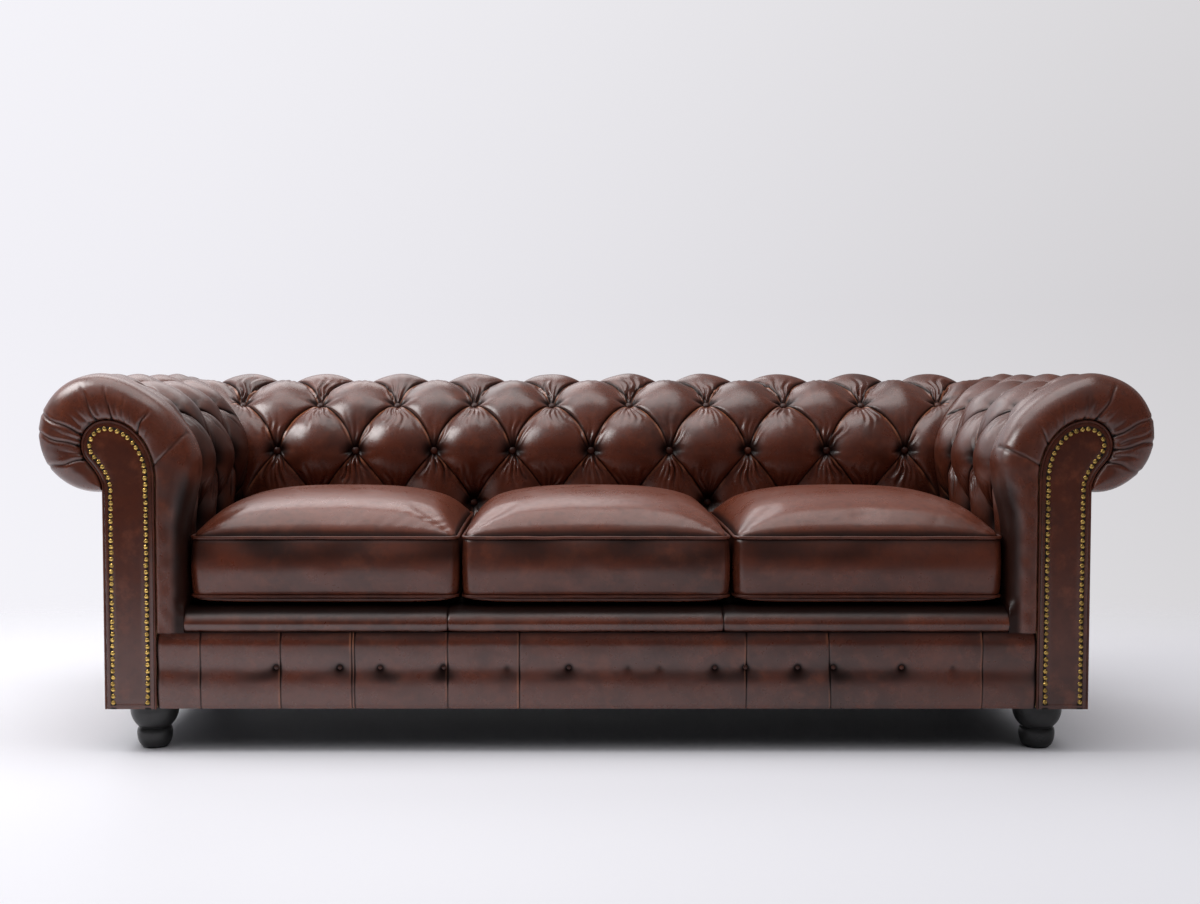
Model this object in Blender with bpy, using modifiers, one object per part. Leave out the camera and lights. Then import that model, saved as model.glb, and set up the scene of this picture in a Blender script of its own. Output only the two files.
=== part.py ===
"""Three-seat chesterfield sofa: hardwood frame, webbed seat, deep-buttoned arms and back, loose cushions.

Metres, +Z up, +X to the viewer's right, the front faces -Y. The origin is on the floor, under the
middle of the sofa. Arms and back share one roll profile, given as (inset, height): inset is the
distance inwards from the outermost line of the roll.
"""

import bisect
import math

import bmesh
import bpy
from mathutils import Vector

# Overall size, and the clearance that touching pieces keep
WIDTH = 2.24
DEPTH = 0.92
ROLL_TOP = 0.76
FOOT_HEIGHT = 0.089
GAP = 0.0003

# Roll profile that the arms and the back share
ROLL_RADIUS = 0.12
ROLL_TUCK = 0.017
FACING_WIDTH = 0.104
PAD_THICKNESS = 0.057
SHOULDER_LEAN = 0.024
SHOULDER_DROP = 0.18
SHOULDER_POWER = 1.7
LEAN_RUN = 0.15

# Deep buttoning: rows are measured along the cover, down from the crest of the roll
BUTTON_PITCH = 0.1862
TUFT_DEPTH = 0.028
TUFT_ROW_DROPS = (-0.017, 0.133, 0.296, 0.426)
CREASE_LIFT = 0.38
CREASE_POWER = 0.8
DIAMOND_POWER = 0.45
EDGE_FADE = 0.05
EDGE_DEPTH_SHARE = 0.3
FIRST_ARM_BUTTON = 0.115
PLEAT_FADE = 0.08
PLEAT_SHARE = 0.22
STEPS_PER_BUTTON = 3
FAN_COLUMNS = 4
FAN_MARGIN = 0.025

# Timber frame
RAIL_THICKNESS = 0.03
SEAT_RAIL_HEIGHT = 0.15
CROSS_RAIL_HEIGHT = 0.12
SCROLL_BOARD_THICKNESS = 0.025
TOP_RAIL_WIDTH = 0.085
TOP_RAIL_THICKNESS = 0.045
TOP_RAIL_OUTREACH = 0.01
TOP_RAIL_RISE = 0.005
LOWER_RAIL_HEIGHT = 0.06
UPRIGHT_WIDTH = 0.05
CORNER_BLOCK_SIDE = 0.1
CORNER_BLOCK_HEIGHT = 0.04
CORNER_BLOCK_CHAMFER = 0.045

# Webbing and deck
WEB_THICKNESS = 0.002
WEB_WIDTH = 0.06
WEB_OVERLAP = 0.015
CROSSWISE_WEBS = 9
LENGTHWISE_WEBS = 3
DECK_THICKNESS = 0.058

# Outside covers
PANEL_THICKNESS = 0.003
DUST_COVER_THICKNESS = 0.001

# Arm front: scroll border, facing, welt and nails
BORDER_DEPTH = 0.08
FACING_RECESS = 0.01
FACING_THICKNESS = 0.0112
HEAD_SHIFT = 0.01
HEAD_DROP = 0.023
HEAD_RADIUS = 0.05
HEAD_JOIN_ANGLE = 222.0
NECK_DROP = 0.087
NECK_BEND = 1.1
FACING_SHOULDER_DROP = 0.067
WELT_RADIUS = 0.0024
NAIL_EDGE_INSET = 0.0175
NAIL_PITCH = 0.0139
NAIL_DIAMETER = 0.0105
NAIL_RISE = 0.0035
NAIL_BAND_WIDTH = 0.006
NAIL_BAND_THICKNESS = 0.0012

# How the scroll border rounds over, as (share of its width, distance behind its foremost line)
BORDER_SECTION = (
    (0.0, FACING_RECESS),
    (0.12, 0.0035),
    (0.35, 0.0),
    (0.62, 0.006),
    (0.85, 0.024),
    (1.0, 0.052),
)

# Front border and lip, with the border's pleats as shares of its half length
FRONT_BORDER_THICKNESS = 0.0132
FRONT_PLEATS = (-0.9, -0.72, -0.556, -0.34, -0.175, 0.34, 0.535, 0.88)
PLEAT_WIDTH = 0.005
PLEAT_GROOVE = 0.003
LIP_DEPTH = 0.095
LIP_SETBACK = 0.005
LIP_ROUND = 0.02

# Turned feet, as (radius, share of the height)
FOOT_PROFILE = (
    (0.0485, 0.93),
    (0.046, 0.81),
    (0.04, 0.655),
    (0.0335, 0.525),
    (0.0315, 0.465),
    (0.0345, 0.405),
    (0.0357, 0.325),
    (0.0345, 0.2),
    (0.029, 0.075),
    (0.021, 0.0),
)
FOOT_MARGIN = 0.005
FOOT_STUD_RADIUS = 0.004
FOOT_STUD_LENGTH = 0.03
FOOT_STEPS = 16

# Loose seat cushions
CUSHION_NAMES = ("left", "middle", "right")
CUSHION_CLEARANCE = 0.0015
CUSHION_FRONT_SETBACK = 0.0355
CUSHION_WELT_LOW = 0.01
CUSHION_SIDE_HEIGHT = 0.1184
CUSHION_CROWN = 0.083
CROWN_POWER = 2.3
CROWN_RINGS = (0.99, 0.93, 0.8, 0.6, 0.35, 0.12)
CUSHION_CORNER_RADIUS = 0.03
CUSHION_SIDE_DRAW = 0.004
CUSHION_BOTTOM_ROUND = 0.012
PIPING_RADIUS = 0.0035
NOTCH_DEPTH = 0.005
COVER_WALL = 0.028
COVER_FLOOR = 0.012
ZIP_WIDTH = 0.42
ZIP_HEIGHT = 0.008

# Places that follow from the sizes above
HALF_WIDTH = WIDTH / 2
HALF_DEPTH = DEPTH / 2
BASE = FOOT_HEIGHT
ROLL_CENTRE_HEIGHT = ROLL_TOP - ROLL_RADIUS
OUTSIDE_SETBACK = ROLL_RADIUS + ROLL_TUCK
SHAFT_INSET = OUTSIDE_SETBACK + FACING_WIDTH
ARM_THICKNESS = SHAFT_INSET + PAD_THICKNESS
SHOULDER_INSET = ARM_THICKNESS + SHOULDER_LEAN
SHOULDER_HEIGHT = ROLL_TOP - SHOULDER_DROP
HEAD_CENTRE = (OUTSIDE_SETBACK + HEAD_SHIFT, ROLL_CENTRE_HEIGHT - HEAD_DROP)
NECK_HEIGHT = HEAD_CENTRE[1] - NECK_DROP
TIMBER_OUT = OUTSIDE_SETBACK + PANEL_THICKNESS + GAP
TIMBER_IN = SHAFT_INSET - GAP
TIMBER_BOTTOM = BASE + DUST_COVER_THICKNESS + GAP
TIMBER_REACH = HALF_WIDTH - TIMBER_IN - GAP
RAIL_TOP = TIMBER_BOTTOM + SEAT_RAIL_HEIGHT
WEB_BOTTOM = RAIL_TOP + GAP
WEB_TOP = WEB_BOTTOM + WEB_THICKNESS
DECK_BOTTOM = WEB_TOP + GAP
DECK_TOP = DECK_BOTTOM + DECK_THICKNESS
PAD_BOTTOM = DECK_TOP + GAP
TOP_RAIL_INSET = ROLL_RADIUS - TOP_RAIL_OUTREACH
TOP_RAIL_TOP = ROLL_CENTRE_HEIGHT + TOP_RAIL_RISE
TOP_RAIL_BOTTOM = TOP_RAIL_TOP - TOP_RAIL_THICKNESS
FACING_FRONT = -HALF_DEPTH + FACING_RECESS
FACING_BACK = FACING_FRONT + FACING_THICKNESS
BOARD_FRONT = FACING_BACK + GAP
BOARD_BACK = BOARD_FRONT + SCROLL_BOARD_THICKNESS
RAIL_BACK = BOARD_FRONT + RAIL_THICKNESS
BORDER_REAR = -HALF_DEPTH + BORDER_DEPTH
REAR_PLANE = HALF_DEPTH - TIMBER_OUT
REAR_FRONT = REAR_PLANE - RAIL_THICKNESS
BLOCK_INSET = TIMBER_OUT + RAIL_THICKNESS + GAP
SEAT_WIDTH = 2 * (HALF_WIDTH - ARM_THICKNESS) / len(CUSHION_NAMES)
PIPING_SEAT = (PIPING_RADIUS + GAP) * math.sqrt(2) - NOTCH_DEPTH
SIDES = {"left": -1, "right": 1}

MATERIALS = {
    "leather": ((0.17, 0.062, 0.045, 1), 0.42, 0.0),
    "leather_dark": ((0.11, 0.04, 0.03, 1), 0.5, 0.0),
    "timber": ((0.52, 0.36, 0.21, 1), 0.7, 0.0),
    "foot": ((0.025, 0.025, 0.027, 1), 0.45, 0.0),
    "brass": ((0.78, 0.57, 0.2, 1), 0.3, 1.0),
    "webbing": ((0.45, 0.38, 0.27, 1), 0.9, 0.0),
    "deck": ((0.2, 0.13, 0.1, 1), 0.95, 0.0),
    "foam": ((0.85, 0.8, 0.62, 1), 0.95, 0.0),
    "dust_cloth": ((0.03, 0.03, 0.03, 1), 0.95, 0.0),
}


def clear_scene():
    for found in list(bpy.data.objects):
        bpy.data.objects.remove(found, do_unlink=True)


def collection(name):
    made = bpy.data.collections.new(name)
    bpy.context.scene.collection.children.link(made)
    return made


def material(name):
    found = bpy.data.materials.get(name)
    if found:
        return found
    colour, roughness, metallic = MATERIALS[name]
    made = bpy.data.materials.new(name)
    made.use_nodes = True
    shader = made.node_tree.nodes["Principled BSDF"]
    shader.inputs["Base Color"].default_value = colour
    shader.inputs["Roughness"].default_value = roughness
    shader.inputs["Metallic"].default_value = metallic
    return made


def lerp(a, b, t):
    return a + (b - a) * t


def smoothstep(value):
    t = min(max(value, 0.0), 1.0)
    return t * t * (3 - 2 * t)


def room_x(side, inset):
    """Where an inset of the left or the right arm lies in the room."""
    return SIDES[side] * (HALF_WIDTH - inset)


def add_part(name, data, slot, parent=None, smooth_angle=None):
    """Put a mesh or a curve in the parts' collection, with its material."""
    made = bpy.data.objects.new(name, data)
    PARTS.objects.link(made)
    data.materials.append(material(slot))
    made.parent = parent
    if smooth_angle is not None:
        data.shade_smooth()
        data.set_sharp_from_angle(angle=math.radians(smooth_angle))
    return made


def mesh_data(name, bm):
    bmesh.ops.recalc_face_normals(bm, faces=bm.faces)
    data = bpy.data.meshes.new(name)
    bm.to_mesh(data)
    bm.free()
    return data


def cuboid(name, low, high):
    """Mesh of a box about its own middle, and that middle."""
    bm = bmesh.new()
    bmesh.ops.create_cube(bm, size=1)
    bmesh.ops.scale(bm, vec=[b - a for a, b in zip(low, high)], verts=bm.verts)
    return mesh_data(name, bm), [(a + b) / 2 for a, b in zip(low, high)]


def box(name, low, high, slot, parent=None):
    data, middle = cuboid(name, low, high)
    made = add_part(name, data, slot, parent)
    made.location = middle
    return made


def cutter(name, data, place, parent=None):
    """A hidden helper that a Boolean takes away."""
    made = bpy.data.objects.new(name, data)
    CUTTERS.objects.link(made)
    made.location = place
    made.parent = parent
    made.hide_render = True
    made.display_type = "WIRE"
    return made


def cut(target, helper):
    modifier = target.modifiers.new("cut", "BOOLEAN")
    modifier.operation = "DIFFERENCE"
    modifier.solver = "EXACT"
    modifier.object = helper


def poly_spline(data, points, cyclic):
    spline = data.splines.new("POLY")
    spline.points.add(len(points) - 1)
    for point, place in zip(spline.points, points):
        point.co = (*place, 1)
    spline.use_cyclic_u = cyclic


def cord(name, points, radius, slot, cyclic=False, parent=None):
    """A welt or a piping as a round tube along the points."""
    data = bpy.data.curves.new(name, "CURVE")
    data.dimensions = "3D"
    data.bevel_depth = radius
    data.bevel_resolution = 1
    data.use_fill_caps = not cyclic
    poly_spline(data, points, cyclic)
    return add_part(name, data, slot, parent)


def extrusion(name, outline, low, high, slot, turn=(0, 0, 0)):
    """A flat outline, given anticlockwise, filled and extruded between two heights, then turned."""
    data = bpy.data.curves.new(name, "CURVE")
    data.dimensions = "2D"
    data.fill_mode = "BOTH"
    data.extrude = (high - low) / 2
    poly_spline(data, [(x, y, 0) for x, y in outline], cyclic=True)
    made = add_part(name, data, slot)
    made.rotation_euler = [math.radians(angle) for angle in turn]
    made.location = made.rotation_euler.to_matrix() @ Vector((0, 0, (low + high) / 2))
    return made


def upright_board(name, outline, side, front, back, slot):
    """A flat piece that stands across the sofa, from an outline of insets and heights."""
    points = [(room_x(side, inset), height) for inset, height in outline]
    if side == "left":
        points.reverse()
    return extrusion(name, points, -back, -front, slot, turn=(90, 0, 0))


def loft(name, rings, slot, smooth_angle=40, parent=None):
    """A skin over rings of equal count, with a flat cap on the first and on the last."""
    bm = bmesh.new()
    made = [[bm.verts.new(point) for point in ring] for ring in rings]
    for ring, after in zip(made, made[1:]):
        for k in range(len(ring)):
            n = (k + 1) % len(ring)
            bm.faces.new((ring[k], ring[n], after[n], after[k]))
    bm.faces.new(made[0])
    bm.faces.new(made[-1])
    return add_part(name, mesh_data(name, bm), slot, parent, smooth_angle)


class Path2D:
    """A polyline of (inset, height) points that is read by its arc length."""

    def __init__(self, points):
        self.points = points
        self.lengths = [0.0]
        for a, b in zip(points, points[1:]):
            self.lengths.append(self.lengths[-1] + math.dist(a, b))
        self.length = self.lengths[-1]

    def at(self, s):
        """The point at arc length s; past either end the path runs on straight."""
        k = min(max(bisect.bisect_right(self.lengths, s), 1), len(self.points) - 1)
        a, b = self.points[k - 1], self.points[k]
        t = (s - self.lengths[k - 1]) / (self.lengths[k] - self.lengths[k - 1])
        return lerp(a[0], b[0], t), lerp(a[1], b[1], t)

    def normal(self, s):
        """The unit normal, which points to the seat on the inner face of an arm."""
        reach = 0.004
        a, b = self.at(max(s - reach, 0.0)), self.at(min(s + reach, self.length))
        size = math.dist(a, b)
        return (b[1] - a[1]) / size, -(b[0] - a[0]) / size

    def nearest(self, target):
        """The arc length of the vertex that lies nearest to the target."""
        best = min(range(len(self.points)), key=lambda i: math.dist(self.points[i], target))
        return self.lengths[best]


def roll_profile():
    """From seat level up the inner face, over the roll and round to its underside."""
    lean_start = SHOULDER_HEIGHT - LEAN_RUN
    points = [(ARM_THICKNESS, PAD_BOTTOM), (ARM_THICKNESS, lean_start)]
    for k in range(1, 13):
        lean = (1 - math.cos(math.pi * k / 12)) / 2
        inset = lerp(ARM_THICKNESS, SHOULDER_INSET, lean)
        points.append((inset, lean_start + LEAN_RUN * k / 12))
    reach = SHOULDER_INSET - ROLL_RADIUS
    for k in range(1, 33):
        angle = math.pi / 2 * k / 32
        across = max(math.cos(angle), 0.0) ** (2 / SHOULDER_POWER)
        up = math.sin(angle) ** (2 / SHOULDER_POWER)
        points.append((ROLL_RADIUS + reach * across, SHOULDER_HEIGHT + SHOULDER_DROP * up))
    underside = 2 * math.pi - math.acos((ROLL_TUCK - GAP) / ROLL_RADIUS)
    turns = [lerp(math.pi / 2, math.pi, k / 18) for k in range(1, 19)]
    turns += [lerp(math.pi, underside, k / 18) for k in range(1, 19)]
    for angle in turns:
        inset = ROLL_RADIUS * (1 + math.cos(angle))
        points.append((inset, ROLL_CENTRE_HEIGHT + ROLL_RADIUS * math.sin(angle)))
    return Path2D(points)


PROFILE = roll_profile()
CREST = PROFILE.nearest((ROLL_RADIUS, ROLL_TOP))
OUTERMOST = PROFILE.nearest((0.0, ROLL_CENTRE_HEIGHT))
BUTTON_ROWS = [CREST - drop for drop in TUFT_ROW_DROPS]


def row_number(s):
    """Which button row an arc length lies at, as a smooth count from 0 at the top row."""
    for j, (high, low) in enumerate(zip(BUTTON_ROWS, BUTTON_ROWS[1:])):
        if s >= low:
            return j + max((high - s) / (high - low), 0.0)
    return float(len(BUTTON_ROWS) - 1)


def pleat_strength(s):
    """How strong the creases are: full among the buttons, fading above and below them."""
    past = max(s - BUTTON_ROWS[0], BUTTON_ROWS[-1] - s, 0.0)
    share = lerp(1.0, PLEAT_SHARE, smoothstep(past / PLEAT_FADE))
    return share * smoothstep(min(s, PROFILE.length - s) / EDGE_FADE)


def pad_height(half_pitches, rows):
    """Height of the buttoned cover, 0 at a button and 1 on top of a diamond."""
    u = abs(math.sin(math.pi * (half_pitches + rows) / 2))
    v = abs(math.sin(math.pi * (half_pitches - rows) / 2))
    lift = CREASE_LIFT * max(u, v) ** CREASE_POWER
    return lift + (1 - lift) * (u * v) ** DIAMOND_POWER


def edge_depth(s):
    """How far the cover is drawn in along a mitre or a seam."""
    return TUFT_DEPTH * EDGE_DEPTH_SHARE * pleat_strength(s)


def tuft_depth(along, s, edge_distance):
    """How far the cover is drawn in at a place along the wall, counted from a top-row button."""
    height = pad_height(along / (BUTTON_PITCH / 2), row_number(s))
    depth = TUFT_DEPTH * (1 - height) * pleat_strength(s)
    return lerp(edge_depth(s), depth, smoothstep(edge_distance / EDGE_FADE))


def mitre_end(half_length, s):
    """How far along a wall its cover reaches before the mitre at the corner."""
    drawn = PROFILE.normal(s)[0] * edge_depth(s)
    return half_length - (PROFILE.at(s)[0] - drawn) - GAP


def profile_stations():
    """Arc lengths of the rings: fine among the button rows, coarse round the roll."""
    rows = sorted(BUTTON_ROWS)
    stations = [0.0, rows[0] / 2]
    for low, high in zip(rows, rows[1:]):
        stations += [lerp(low, high, k / STEPS_PER_BUTTON) for k in range(STEPS_PER_BUTTON)]
    stations += [lerp(rows[-1], OUTERMOST, k / 3) for k in range(3)]
    stations += [lerp(OUTERMOST, PROFILE.length, k / 4) for k in range(5)]
    return stations


class ButtonedWall:
    """A padded wall that follows the roll profile, with its cover drawn in to the buttons."""

    def __init__(self, name, columns_at, depth_at, place, mitred):
        """columns_at(s) gives the places along the wall and depth_at(along, s) the draw there.

        place(inset, height, along) is the point in the room. mitred tells for the first and the
        last end which way the inner face runs on to the mitre: -1, 0 or 1.
        """
        self.name = name
        self.columns_at = columns_at
        self.depth_at = depth_at
        self.place = place
        self.mitred = mitred
        self.bm = bmesh.new()

    def ring(self, s):
        """The cover's places, draws and vertices at one arc length, and the inner face's ends."""
        inset, height = PROFILE.at(s)
        across, up = PROFILE.normal(s)
        places = self.columns_at(s)
        draws = [self.depth_at(along, s) for along in places]
        cover = [
            self.bm.verts.new(self.place(inset - across * d, height - up * d, along))
            for along, d in zip(places, draws)
        ]
        back = (inset - across * PAD_THICKNESS, height - up * PAD_THICKNESS)
        ends = []
        for k, way in zip((0, -1), self.mitred):
            shift = way * across * (PAD_THICKNESS - draws[k])
            ends.append(self.bm.verts.new(self.place(*back, places[k] + shift)))
        return places, draws, cover, ends

    def skin(self, s, lower, upper):
        """Cover faces between two rings, each split along the line that keeps closest to its crease."""
        low, drawn_low, below, _ = lower
        high, drawn_high, above, _ = upper
        for k in range(len(below) - 1):
            a, b, c, d = below[k], below[k + 1], above[k + 1], above[k]
            true = self.depth_at((low[k] + low[k + 1] + high[k] + high[k + 1]) / 4, s)
            rising = abs((drawn_low[k] + drawn_high[k + 1]) / 2 - true)
            falling = abs((drawn_low[k + 1] + drawn_high[k]) / 2 - true)
            split = [(a, b, c), (a, c, d)] if rising <= falling else [(a, b, d), (b, c, d)]
            for corners in split:
                self.bm.faces.new(corners)

    def build(self):
        stations = profile_stations()
        rings = [self.ring(s) for s in stations]
        for i, (lower, upper) in enumerate(zip(rings, rings[1:])):
            self.skin((stations[i] + stations[i + 1]) / 2, lower, upper)
            _, _, below, (left, right) = lower
            _, _, above, (next_left, next_right) = upper
            self.bm.faces.new((left, right, next_right, next_left))
            self.bm.faces.new((below[0], above[0], next_left, left))
            self.bm.faces.new((below[-1], above[-1], next_right, right))
        for _, _, cover, (left, right) in (rings[0], rings[-1]):
            self.bm.faces.new([*cover, right, left])
        return add_part(self.name, mesh_data(self.name, self.bm), "leather", smooth_angle=50)


def grid_columns(first, longest):
    """Places along a wall, in step with its buttons, up to the start of the fan at the mitre."""
    step = BUTTON_PITCH / 2 / STEPS_PER_BUTTON
    count = int((longest - FAN_MARGIN - first) / step)
    return [first + k * step for k in range(count + 1)]


def fan(start, end):
    """Places that spread from the last grid column to the mitre."""
    return [lerp(start, end, k / FAN_COLUMNS) for k in range(1, FAN_COLUMNS + 1)]


def inside_back():
    """The buttoned inside back, mitred to the arms at both ends."""
    half = grid_columns(0.0, HALF_WIDTH - SHOULDER_INSET)

    def columns_at(s):
        right = half + fan(half[-1], mitre_end(HALF_WIDTH, s))
        return [-x for x in reversed(right[1:])] + right

    def depth_at(along, s):
        return tuft_depth(along, s, mitre_end(HALF_WIDTH, s) - abs(along))

    def place(inset, height, along):
        return (along, HALF_DEPTH - inset, height)

    ButtonedWall("inside_back", columns_at, depth_at, place, (-1, 1)).build()


def inside_arm(side):
    """A buttoned inside arm, from the scroll border to the mitre with the back."""
    first = -HALF_DEPTH + FIRST_ARM_BUTTON
    start = BORDER_REAR + GAP
    grid = grid_columns(first, HALF_DEPTH - SHOULDER_INSET)

    def columns_at(s):
        return [start] + grid + fan(grid[-1], mitre_end(HALF_DEPTH, s))

    def depth_at(along, s):
        distance = min(mitre_end(HALF_DEPTH, s) - along, along - start)
        return tuft_depth(along - first, s, distance)

    def place(inset, height, along):
        return (room_x(side, inset), along, height)

    ButtonedWall(f"{side}_inside_arm", columns_at, depth_at, place, (0, 1)).build()


def hermite(start, end, start_pull, end_pull, t):
    """A point on the cubic between two points that leaves and arrives along the two pulls."""
    weights = (2 * t**3 - 3 * t**2 + 1, t**3 - 2 * t**2 + t, 3 * t**2 - 2 * t**3, t**3 - t**2)
    return tuple(
        sum(w * v for w, v in zip(weights, values))
        for values in zip(start, start_pull, end, end_pull)
    )


def facing_path(grow, outer_inset=None):
    """Outline of the arm facing, from its outer foot up, round the scroll head and down.

    grow moves the whole outline outwards; outer_inset sets the outer edge of the shaft by itself.
    """
    outer = OUTSIDE_SETBACK - grow if outer_inset is None else outer_inset
    centre_inset, centre_height = HEAD_CENTRE
    radius = HEAD_RADIUS + grow
    join = math.radians(HEAD_JOIN_ANGLE)
    joint = (centre_inset + radius * math.cos(join), centre_height + radius * math.sin(join))
    pull = (joint[1] - NECK_HEIGHT) * NECK_BEND
    leave, arrive = (0.0, pull), (pull * math.sin(join), -pull * math.cos(join))
    neck = (outer, NECK_HEIGHT)
    points = [(outer, BASE), neck]
    points += [hermite(neck, joint, leave, arrive, k / 5) for k in range(1, 6)]
    for k in range(1, 11):
        angle = lerp(join, math.pi / 2, k / 10)
        inset = centre_inset + radius * math.cos(angle)
        points.append((inset, centre_height + radius * math.sin(angle)))
    shoulder = centre_height - FACING_SHOULDER_DROP
    reach = SHAFT_INSET + grow - centre_inset
    climb = FACING_SHOULDER_DROP + radius
    for k in range(1, 9):
        angle = math.pi / 2 * (1 - k / 8)
        inset = centre_inset + reach * math.cos(angle)
        points.append((inset, shoulder + climb * math.sin(angle)))
    points.append((SHAFT_INSET + grow, BASE))
    return Path2D(points)


def arm_facing(side):
    """Leather-covered facing with a welt round its edge."""
    outline = facing_path(-2 * WELT_RADIUS - GAP).points
    upright_board(f"{side}_arm_facing", outline, side, FACING_FRONT, FACING_BACK, "leather_dark")
    depth = FACING_FRONT + WELT_RADIUS / 2
    path = facing_path(-WELT_RADIUS).points
    points = [(room_x(side, inset), depth, height) for inset, height in path]
    cord(f"{side}_facing_welt", points, WELT_RADIUS, "leather")


def nail_trim(side):
    """Brass nails along the facing, each a faceted head, on the narrow band that carries them."""
    path = facing_path(-NAIL_EDGE_INSET)
    count = int((path.length - 2 * NAIL_DIAMETER) / NAIL_PITCH)
    start = (path.length - count * NAIL_PITCH) / 2
    back = FACING_FRONT - GAP
    rings = []
    for k in range(2 * count + 1):
        s = start + k * NAIL_PITCH / 2
        inset, height = path.at(s)
        across, up = path.normal(s)
        is_head = k % 2 == 0
        half = (NAIL_DIAMETER if is_head else NAIL_BAND_WIDTH) / 2
        rise = NAIL_RISE if is_head else NAIL_BAND_THICKNESS
        section = ((-half, 0), (half, 0), (half / 2, rise), (-half / 2, rise))
        rings.append(
            [(room_x(side, inset + across * w), back - r, height + up * w) for w, r in section]
        )
    loft(f"{side}_nail_trim", rings, "brass")


def scroll_border(side):
    """Leather border that rolls forward round the facing and runs down to the seat lip."""
    inner = facing_path(GAP)
    head_inset, head_height = HEAD_CENTRE
    lean_start = SHOULDER_HEIGHT - LEAN_RUN
    shoulder = inner.nearest((SHAFT_INSET, head_height - FACING_SHOULDER_DROP))
    straight = inner.length - (lean_start - BASE)
    inner_keys = (
        inner.lengths[2],
        inner.nearest((head_inset - HEAD_RADIUS, head_height)),
        inner.nearest((head_inset, head_height + HEAD_RADIUS)),
        shoulder,
        straight,
        inner.length - (DECK_BOTTOM - BASE),
    )
    outer_keys = (
        PROFILE.length,
        OUTERMOST,
        CREST,
        PROFILE.nearest((SHOULDER_INSET, SHOULDER_HEIGHT)),
        lean_start - PAD_BOTTOM,
        DECK_BOTTOM - PAD_BOTTOM,
    )
    stations = [s for s in inner.lengths[2:] if s <= shoulder]
    stations += [lerp(shoulder, straight, k / 4) for k in range(1, 5)]
    stations.append(inner_keys[-1])
    rings = []
    for s in stations:
        part = min(bisect.bisect_right(inner_keys, s), len(inner_keys) - 1) - 1
        t = (s - inner_keys[part]) / (inner_keys[part + 1] - inner_keys[part])
        near, low = inner.at(s)
        far, high = PROFILE.at(lerp(outer_keys[part], outer_keys[part + 1], t))
        ring = [(room_x(side, near), BORDER_REAR, low)]
        for share, setback in BORDER_SECTION:
            place = room_x(side, lerp(near, far, share))
            ring.append((place, -HALF_DEPTH + setback, lerp(low, high, share)))
        ring.append((room_x(side, far), BORDER_REAR, high))
        rings.append(ring)
    loft(f"{side}_scroll_border", rings, "leather", smooth_angle=50)


def web_places():
    """Places of the front-to-back webs along the seat."""
    reach = HALF_WIDTH - ARM_THICKNESS - WEB_WIDTH
    return [lerp(-reach, reach, k / (CROSSWISE_WEBS - 1)) for k in range(CROSSWISE_WEBS)]


def upright_place():
    """Middle of the space between two webs that lies nearest to a third of the half length."""
    webs = web_places()
    middles = [(a + b) / 2 for a, b in zip(webs, webs[1:])]
    return min(middles, key=lambda x: abs(x - webs[-1] / 3))


def seat_rails():
    """Front and back rails of the seat, and the cross rails between them."""
    for name, ys in (("front", (BOARD_FRONT, RAIL_BACK)), ("back", (REAR_FRONT, REAR_PLANE))):
        low = (-TIMBER_REACH, ys[0], TIMBER_BOTTOM)
        box(f"{name}_seat_rail", low, (TIMBER_REACH, ys[1], RAIL_TOP), "timber")
    half = RAIL_THICKNESS / 2
    for side, sign in SIDES.items():
        x = sign * upright_place()
        low = (x - half, RAIL_BACK + GAP, RAIL_TOP - CROSS_RAIL_HEIGHT)
        box(f"{side}_cross_rail", low, (x + half, REAR_FRONT - GAP, RAIL_TOP), "timber")


def back_timber():
    """Top rail, lower rail and uprights that carry the inside back."""
    low = (-TIMBER_REACH, HALF_DEPTH - TOP_RAIL_INSET - TOP_RAIL_WIDTH, TOP_RAIL_BOTTOM)
    high = (TIMBER_REACH, HALF_DEPTH - TOP_RAIL_INSET, TOP_RAIL_TOP)
    box("back_top_rail", low, high, "timber")
    front = HALF_DEPTH - TIMBER_IN
    low = (-TIMBER_REACH, front, PAD_BOTTOM)
    high = (TIMBER_REACH, front + RAIL_THICKNESS, PAD_BOTTOM + LOWER_RAIL_HEIGHT)
    box("back_lower_rail", low, high, "timber")
    half = UPRIGHT_WIDTH / 2
    for side, sign in SIDES.items():
        x = sign * upright_place()
        low = (x - half, front + RAIL_THICKNESS + GAP, RAIL_TOP + GAP)
        high = (x + half, REAR_PLANE, TOP_RAIL_BOTTOM - GAP)
        box(f"{side}_back_upright", low, high, "timber")


def arm_box(side, name, insets, ys, heights):
    """A timber of one arm, between two insets, two depths and two heights."""
    xs = sorted(room_x(side, inset) for inset in insets)
    low, high = zip(xs, ys, heights)
    return box(f"{side}_{name}", low, high, "timber")


def arm_timber(side):
    """Scroll board, rear post and rails of one arm."""
    board = facing_path(-GAP, outer_inset=TIMBER_OUT).points
    board = [(inset, max(height, TIMBER_BOTTOM)) for inset, height in board]
    upright_board(f"{side}_scroll_board", board, side, BOARD_FRONT, BOARD_BACK, "timber")
    post = (TIMBER_BOTTOM, TOP_RAIL_TOP)
    arm_box(side, "rear_post", (TIMBER_OUT, TIMBER_IN), (REAR_FRONT, REAR_PLANE), post)
    run = (BOARD_BACK + GAP, REAR_FRONT - GAP)
    insets = (TIMBER_OUT, TIMBER_OUT + RAIL_THICKNESS)
    arm_box(side, "side_rail", insets, run, (TIMBER_BOTTOM, RAIL_TOP))
    insets = (TOP_RAIL_INSET, TOP_RAIL_INSET + TOP_RAIL_WIDTH)
    arm_box(side, "arm_top_rail", insets, run, (TOP_RAIL_BOTTOM, TOP_RAIL_TOP))
    insets = (TIMBER_IN - RAIL_THICKNESS, TIMBER_IN)
    heights = (PAD_BOTTOM, PAD_BOTTOM + LOWER_RAIL_HEIGHT)
    arm_box(side, "arm_lower_rail", insets, run, heights)


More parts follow.
